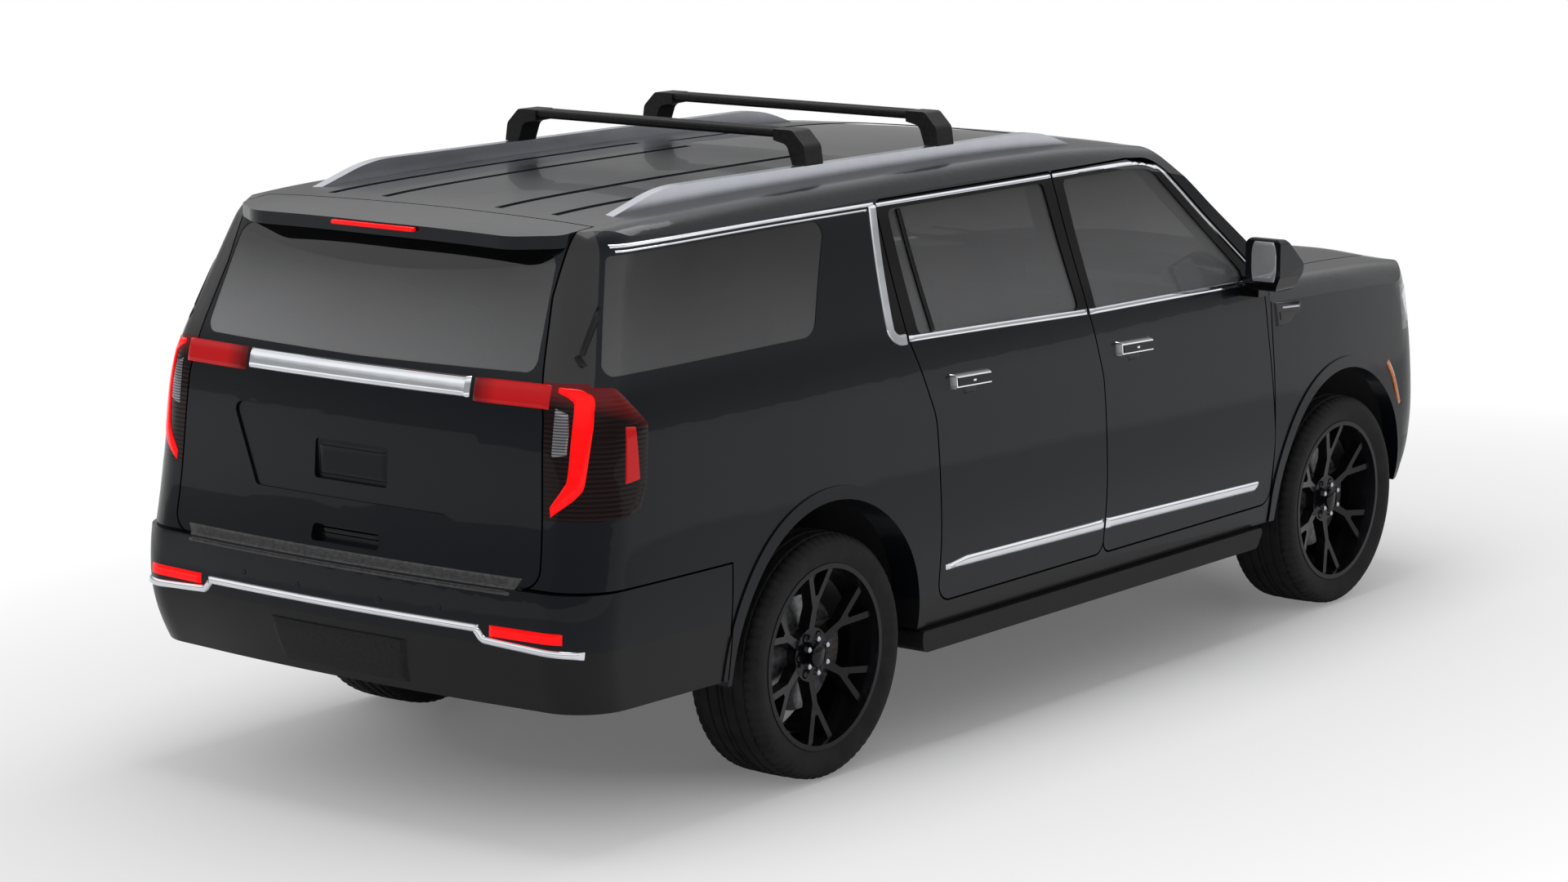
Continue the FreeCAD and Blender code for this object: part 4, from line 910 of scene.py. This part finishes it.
def makeRearBumper():
    setup = bumperSetup
    padTop = Surface(["rear_bumper"], 2, 1, (-2880, -2640), (-800, 800), 8, close=1)
    half, near, far = setup["padHalf"], *setup["padInset"]
    ys = np.linspace(-half, half, 25)
    edge = -rearFace.at(ys * milli, np.full(25, setup["padHeight"] * milli)) / milli
    pad = [band(padTop, list(zip(edge + near, ys)), list(zip(edge + far, ys)), lift=4)]
    rib = {"lift": 7, "across": 4, "bevel": 2, "sink": 1}
    margin = setup["padMargin"]
    for shift in np.linspace(near + margin, far - margin, setup["padRibs"]):
        pad.append(strip(padTop, list(zip(edge + shift, ys * 0.97)), width=5, **rib))
    wide, narrow, top, low = setup["face"]
    upper, lower = [(-wide, top), (wide, top)], [(-narrow, low), (narrow, low)]
    pad.append(band(rearFace, upper, lower, lift=5, across=8, bevel=8))
    side, margin = setup["faceMargins"]
    for z in np.linspace(low + margin, top - margin, setup["faceRibs"]):
        pad.append(strip(rearFace, [(side - narrow, z), (narrow - side, z)], width=4, **rib))
    piece("step_pad", pad, greyPlastic)
    line = setup["strip"] + sided(-1, setup["strip"][-2::-1])
    bright = strip(rearFace, line, setup["stripWidth"], setup["stripLift"], step=6, bevel=13)
    piece("bumper_strip", [bright], chrome)
    # the reflectors take the glowing red lens finish, a painted glow, since reflectors are not lamps
    lamps = [slab(rearFace, setup["reflector"], lift=7, way=way, bevel=6) for side, way in bothSides]
    piece("bumper_reflectors", lamps, redLens)
    panel = slab(rearFace, setup["panel"], lift=12, narrow=0.92, across=10, bevel=24)
    piece("bumper_panel", [panel], blackPlastic)
    dot = {"radius": 13, "lift": 1.6, "bevel": 4, "count": 9, "across": 6}
    dots = [disc(rearFace, *place, **dot) for place in setup["sensors"]]
    piece("park_sensors", dots, bodyPaint)


makeRearBumper()
print("rear")


# tailgate: blank plate cover, grip, brake lamp in the spoiler, and the fins on the rear pillars

gateSetup = {
    "plate": (-146, 146, 1098, 1200), "grip": (-132, 132, 906, 928),
    "brakeLamp": ((-2664, -178, 1899), (-2642, 178, 1913)),
    "finLine": [(846, 1820), (848, 1700), (850, 1560)], "finWedge": [(838, 1562), (866, 1528)],
    "finWidth": 16,
}


def makeTailgateDetail():
    setup = gateSetup
    plate = slab(rearFace, setup["plate"], lift=2.5, across=8, bevel=7)
    piece("blank_plate_cover", [plate], bodyPaint, "tailgate")
    grip = slab(rearFace, setup["grip"], lift=8, narrow=0.94, bevel=8)
    piece("tailgate_grip", [grip], glossBlack, "tailgate")
    piece("high_brake_lamp", [softBox(*setup["brakeLamp"], bevel=5)], redLens, "tailgate")
    fins, width = [], setup["finWidth"]
    for side, way in bothSides:
        line, wedge = sided(way, setup["finLine"]), sided(way, setup["finWedge"])
        fins.append(strip(rearFace, line, width, lift=5, across=4, bevel=4))
        fins.append(strip(rearFace, wedge, width, lift=4, across=4, step=8, bevel=3))
    piece("pillar_fins", fins, glossBlack)


makeTailgateDetail()


# door mirrors

mirrorSetup = {
    "inner": 1072, "outer": 1180, "base": 1404, "top": 1556, "shrink": [8, 2, 0, 0, 0, 3, 12],
    "scan": (1340, 1590), "inset": 4, "lift": 4,
}


def makeMirrors(side, way):
    setup = mirrorSetup
    low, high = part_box(f"mirror_{side}")
    across = (low[1] * 1000 + setup["inset"], high[1] * 1000 - setup["inset"])
    faceOf = Surface([f"mirror_{side}"], 0, -1, across, setup["scan"], 6, close=1)
    heights = np.linspace(setup["base"], setup["top"], len(setup["shrink"]))
    first = sided(way, [(setup["inner"] + s, z) for s, z in zip(setup["shrink"], heights)])
    second = sided(way, [(setup["outer"] - s, z) for s, z in zip(setup["shrink"], heights)])
    glassParts = [band(faceOf, first, second, setup["lift"], across=10, bevel=6, step=8)]
    piece(f"mirror_glass_{side}", glassParts, mirrorGlass, f"front_door_{side}")


for side, way in bothSides:
    makeMirrors(side, way)
print("mirrors")


# fender vents, side markers, ribs on the crossbars and running boards

smallSetup = {
    "vent": ([(1318, 1279), (1420, 1271), (1520, 1262)], [(1330, 1182), (1424, 1188), (1516, 1232)]),
    "slot": ([(1372, 1258), (1510, 1250)], [(1372, 1248), (1508, 1240)]),
    "inset": ([(1344, 1240), (1470, 1234)], [(1352, 1204), (1440, 1206)]),
    "marker": ([(2232, 930), (2285, 858), (2338, 742)], 24),  # a line and its width
    "barX": (-1190, -420), "barTop": 2132, "barHalf": 520, "barRibs": 104, "rib": (26, 2.6, 3, 1.2, 1.1),
    "boardRibs": (872, 900, 928, 956, 984), "board": (-980, 1180, 412), "treadRadius": 4.5,
}


def makeFenderDetail(side, way):
    surface = sideFace[way]
    setup = smallSetup
    vent = [
        band(surface, *setup["vent"], lift=5, across=8, step=8, bevel=6),
        band(surface, *setup["inset"], lift=8, step=8, bevel=3),
    ]
    piece(f"fender_vent_{side}", vent, glossBlack)
    blade = band(surface, *setup["slot"], lift=7, across=4, step=8, bevel=2)
    piece(f"fender_vent_blade_{side}", [blade], satinRail)
    marker = strip(surface, *setup["marker"], lift=5, step=6, bevel=5)
    piece(f"side_marker_{side}", [marker], amberLens)


def makeRibs():
    setup = smallSetup
    ribs = []
    long, wide, deep, proud, bevel = setup["rib"]
    half, top = setup["barHalf"], setup["barTop"]
    for x in setup["barX"]:
        for y in np.linspace(-half, half, setup["barRibs"]):
            low, high = (x - long, y - wide, top - deep), (x + long, y + wide, top + proud)
            ribs.append(softBox(low, high, bevel, 1))
    piece("crossbar_ribs", ribs, blackPlastic)
    start, end, top = setup["board"]
    for side, way in bothSides:
        treads = []
        for y in setup["boardRibs"]:
            line = [(start, way * y, top), (end, way * y, top)]
            treads.append(tube(line, setup["treadRadius"], 40, 8, flat=0.6))
        piece(f"board_treads_{side}", treads, blackPlastic)


for side, way in bothSides:
    makeFenderDetail(side, way)
makeRibs()


# front: grille frame and bars, head lamps, fog lamps, lower intake and skid strip

frontSetup = {
    "frameHalf": [(470, 716), (532, 760), (548, 1160), (520, 1186)], "frameWidth": 26,
    "bars": (760, 1146, 8), "barHalf": 508, "barWidth": 18,
    "uprights": 23, "uprightWidth": 6, "uprightReach": (740, 1162),
    "dayLight": [(598, 1206), (780, 1206), (930, 1196), (948, 1150), (944, 1066)],
    "dayLightWidth": 17,
    "projectors": [(680, 1130), (800, 1126)],
    "bowl": {"radius": 46, "lift": 2.5, "bevel": 5}, "lens": {"radius": 36, "lift": 6, "bevel": 24},
    "fog": [(800, 800), (838, 720)], "fogWidth": 30,
    "intake": (-520, 520, 566, 650), "intakeBars": (590, 612, 634), "intakeBarHalf": 457.6,
    "skid": (-400, 400, 480, 524),
}


def makeFront():
    setup = frontSetup
    halfLine = setup["frameHalf"]
    loop = sided(-1, halfLine) + halfLine[::-1] + sided(-1, halfLine[:1])
    frameBand = strip(frontFace, loop, setup["frameWidth"], lift=12, step=8, bevel=10, corners=True)
    piece("grille_frame", [frameBand], chrome)
    low, high, count = setup["bars"]
    half, wide = setup["barHalf"], setup["barWidth"]
    bars = []
    for z in np.linspace(low, high, count):
        bars.append(strip(frontFace, [(-half, z), (half, z)], wide, lift=9, bevel=7))
    low, high = setup["uprightReach"]
    for y in np.linspace(wide - half, half - wide, setup["uprights"]):
        upright = [(y, low), (y, high)]
        bars.append(strip(frontFace, upright, setup["uprightWidth"], lift=4, across=4, step=20, bevel=2))
    piece("grille_bars", bars, satinRail)
    width = setup["dayLightWidth"]
    lights = onBothSides(strip, frontFace, [setup["dayLight"]], width, lift=5, step=8, bevel=6)
    piece("head_day_lights", lights, lampWhite)
    places = [place for side, way in bothSides for place in sided(way, setup["projectors"])]
    for name, shape, finish in (("bowls", setup["bowl"], glossBlack), ("lenses", setup["lens"], reverseLens)):
        piece(f"head_lamp_{name}", [disc(frontFace, *place, **shape) for place in places], finish)
    fogs = onBothSides(strip, frontFace, [setup["fog"]], setup["fogWidth"], lift=4, step=8, bevel=6)
    piece("fog_lamps", fogs, lampWhite)
    intake = [slab(frontFace, setup["intake"], lift=3, narrow=0.9, across=8, bevel=6)]
    half = setup["intakeBarHalf"]
    for z in setup["intakeBars"]:
        intake.append(strip(frontFace, [(-half, z), (half, z)], width=8, lift=9, across=4, bevel=3))
    piece("lower_intake", intake, glossBlack)
    skid = slab(frontFace, setup["skid"], lift=7, narrow=0.86, across=8, bevel=12)
    piece("front_skid_strip", [skid], satinRail)


makeFront()


# windscreen wipers, with their arms and blades

wiperSetup = {
    "roots": (-560, 60), "reach": 600, "low": 1392, "rise": 36, "scan": ((-760, 760), (1372, 1840)),
    "armLift": 16, "bladeLift": 7, "pivotLift": 8, "armRadius": 6, "bladeRadius": 4.5,
    "pivot": [(0.5, -10), (14, -10), (16, -6), (16, 6), (0.5, 6)],
}


def makeWipers():
    setup = wiperSetup
    screen = Surface(["fixed_glass"], 0, 1, *setup["scan"], 12, close=1)
    arms = []
    for root in setup["roots"]:
        ys = np.linspace(root, root + setup["reach"], 13)
        zs = setup["low"] + np.linspace(0, setup["rise"], 13)
        out = screen.at(ys * milli, zs * milli) / milli
        arm = [(o + setup["armLift"], y, z) for o, y, z in zip(out, ys, zs)][:9]
        arms.append(tube(arm, setup["armRadius"], 24, 8))
        blade = [(o + setup["bladeLift"], y, z + 6) for o, y, z in zip(out, ys, zs)][2:]
        arms.append(tube(blade, setup["bladeRadius"], 30, 8))
        arms.append(lathe(setup["pivot"], (out[0] + setup["pivotLift"], root, setup["low"]), 16))
    piece("windscreen_wipers", arms, blackPlastic)


makeWipers()
print("front")


# seats, each with its cushion, back, head restraint, posts and shell

seatSetup = {
    # place along, distance from the middle, width, height of the cushion's base and of the back above it
    "rows": {
        "front": (380, 410, 520, 818, 600),
        "middle": (-560, 410, 520, 838, 600),
        "rear": (-1500, 234, 456, 838, 560),
    },
    "cuts": 13, "round": 0.3, "piping": 4, "headHalf": 124, "posts": (-52, 52), "postRadius": 7,
}


def pad(outline, low, high, channels=(), bolster=0.0):
    # an upholstered block from four side-view corners, base first, with channels and raised sides
    mesh = bmesh.new()
    bmesh.ops.create_cube(mesh, size=2)
    bmesh.ops.subdivide_edges(mesh, edges=mesh.edges[:], cuts=seatSetup["cuts"], use_grid_fill=True)
    mesh.verts.index_update()
    corners = [np.array(corner, float) for corner in outline]
    points = []
    for vertex in mesh.verts:
        a, b, c = vertex.co
        rounds = ((a, b, c), (b, a, c), (c, a, b))
        ball = [p * math.sqrt(1 - q * q / 2 - r * r / 2 + q * q * r * r / 3) for p, q, r in rounds]
        share = seatSetup["round"]
        u, v, w = [flat * (1 - share) + full * share for flat, full in zip((a, b, c), ball)]
        dip = sum(math.exp(-(((a - channel) / 0.06) ** 2)) for channel in channels) if c > 0.5 else 0
        dip += math.exp(-(((abs(b) - 0.62) / 0.05) ** 2)) * (c > 0.5)
        w = w * 0.97 + bolster * (c > 0) * (abs(b) ** 5) * 0.12 - dip * 0.035
        s, t = (u + 1) / 2, (w + 1) / 2
        shares = ((1 - s) * (1 - t), s * (1 - t), s * t, (1 - s) * t)
        place = sum(corner * part for corner, part in zip(corners, shares))
        y = low + (v + 1) / 2 * (high - low)
        points.append((place[0] * milli, y * milli, place[1] * milli))
    faces = [tuple(v.index for v in face.verts) for face in mesh.faces]
    mesh.free()
    return points, faces


def makeSeat(row, side, way):
    x, middle, wide, base, tall = seatSetup["rows"][row]
    y = way * middle
    low, high = y - wide / 2, y + wide / 2
    cushion = [(x - 40, base + 6), (x + 462, base + 6), (x + 482, base + 146), (x - 40, base + 122)]
    top = base + tall
    back = [(x - 56, base + 96), (x - 156, top - 4), (x - 42, top), (x + 86, base + 96)]
    head = [(x - 158, top + 24), (x - 152, top + 184), (x - 74, top + 184), (x - 58, top + 24)]
    inset, headHalf = seatSetup["piping"], seatSetup["headHalf"]
    soft = [
        pad(cushion, low + inset, high - inset, (-0.35, 0.1, 0.55), 1.0),
        pad(back, low + inset, high - inset, (-0.4, 0.0, 0.4), 1.0),
        pad(head, y - headHalf, y + headHalf),
    ]
    upholstery = piece(f"{row}_seat_{side}", soft, seatLeather, "body", ["seats"], sharp=70)
    hard = [softBox((x + 24, y - 176, base - 146), (x + 396, y + 176, base + 20), 14)]
    for shift in seatSetup["posts"]:
        post = [(x - 104, y + shift, top - 60), (x - 108, y + shift, top + 60)]
        hard.append(tube(post, seatSetup["postRadius"], 6, 12))
    piece(f"{row}_seat_base_{side}", hard, cabinTrim)


for side, way in bothSides:
    for row in seatSetup["rows"]:
        makeSeat(row, side, way)
print("seats")


# floor, world and lamp

stageSetup = {
    "size": 60.0, "squash": 0.30, "grey": 0.92,
    # near the car the floor's glow is held low: a painted shadow, a grey halo round the car laid over the
    # lamp's real shadow
    "paintedShadowFade": (1.1, 3.6, 0.12, 0.88),  # from and to where the floor turns white, its start and its gain
    "mirroredFade": (6.2, 6.8, 0.04, 0.9),
    "lamp": ((0, 0, 7.0), (0, 0, 0), (7, 3), 260),
}


def makeStage():
    mesh = bpy.data.meshes.new("floor")
    size, squash, grey = stageSetup["size"], stageSetup["squash"], stageSetup["grey"]
    corners = [(-size, -size, 0), (size, -size, 0), (size, size, 0), (-size, size, 0)]
    mesh.from_pydata(corners, [], [(0, 1, 2, 3)])
    floor = bpy.data.objects.new("floor", mesh)
    scene.collection.objects.link(floor)
    made = bpy.data.materials.new("floor_finish")
    mesh.materials.append(made)
    tree = Tree(made)
    tree.nodes.clear()
    diffuse = tree.add("ShaderNodeBsdfDiffuse")
    diffuse.socket.node.inputs["Color"].default_value = (grey, grey, grey, 1)
    glow = tree.add("ShaderNodeEmission", {"Color": (255, 255, 255), "Strength": 1.0})
    rays = tree.add("ShaderNodeLightPath")
    seen = rays.part("Is Camera Ray") + rays.part("Is Transmission Ray")
    x, y, z = tree.place()
    spread = x * x * squash + y * y
    away = spread.mathNode("POWER", spread, 0.5)
    # painted shadow: the floor seen by the camera stays grey near the car and turns white further out
    near, far, start, gain = stageSetup["paintedShadowFade"]
    visible = seen * (start + rise(away, near, far) * gain)
    near, far, start, gain = stageSetup["mirroredFade"]
    mirrored = rays.part("Is Glossy Ray") * (start + rise(away, near, far) * gain)
    both = tree.add("ShaderNodeMixShader", {0: visible + mirrored, 1: diffuse, 2: glow})
    out = tree.nodes.new("ShaderNodeOutputMaterial")
    tree.links.new(both.socket, out.inputs["Surface"])


def makeWorld():
    world = bpy.data.worlds.new("studio")
    scene.world = world
    tree = Tree(world)
    shader = tree.nodes["Background"]
    rays = tree.add("ShaderNodeLightPath")
    seen = (rays.part("Is Camera Ray") + rays.part("Is Transmission Ray")).above(0.5)
    mirrored = rays.part("Is Glossy Ray") * (1 - seen)
    direction = tree.add("ShaderNodeTexCoord").part("Generated")
    height = tree.add("ShaderNodeSeparateXYZ", {0: direction}).part("Z")
    tree.feed(shader.inputs["Color"], (255, 255, 255))
    lowSky, highSky = rise(height, 0.16, 0.34), rise(height, 0.55, 0.9)
    ceiling = lowSky * 0.62 - highSky * 0.5 - 0.12
    tree.feed(shader.inputs["Strength"], 0.45 + seen * 0.55 + mirrored * ceiling)


def makeLamp(name, place, aim, size, power):
    data = bpy.data.lights.new(name, "AREA")
    data.shape = "RECTANGLE"
    data.size = size[0]
    data.size_y = size[1]
    data.energy = power
    lamp = bpy.data.objects.new(name, data)
    lamp.location = place
    lamp.rotation_euler = (Vector(aim) - Vector(place)).to_track_quat("-Z", "Y").to_euler()
    scene.collection.objects.link(lamp)


makeStage()
makeWorld()
makeLamp("lampOver", *stageSetup["lamp"])
scene.view_settings.view_transform = "Standard"
print("stage")
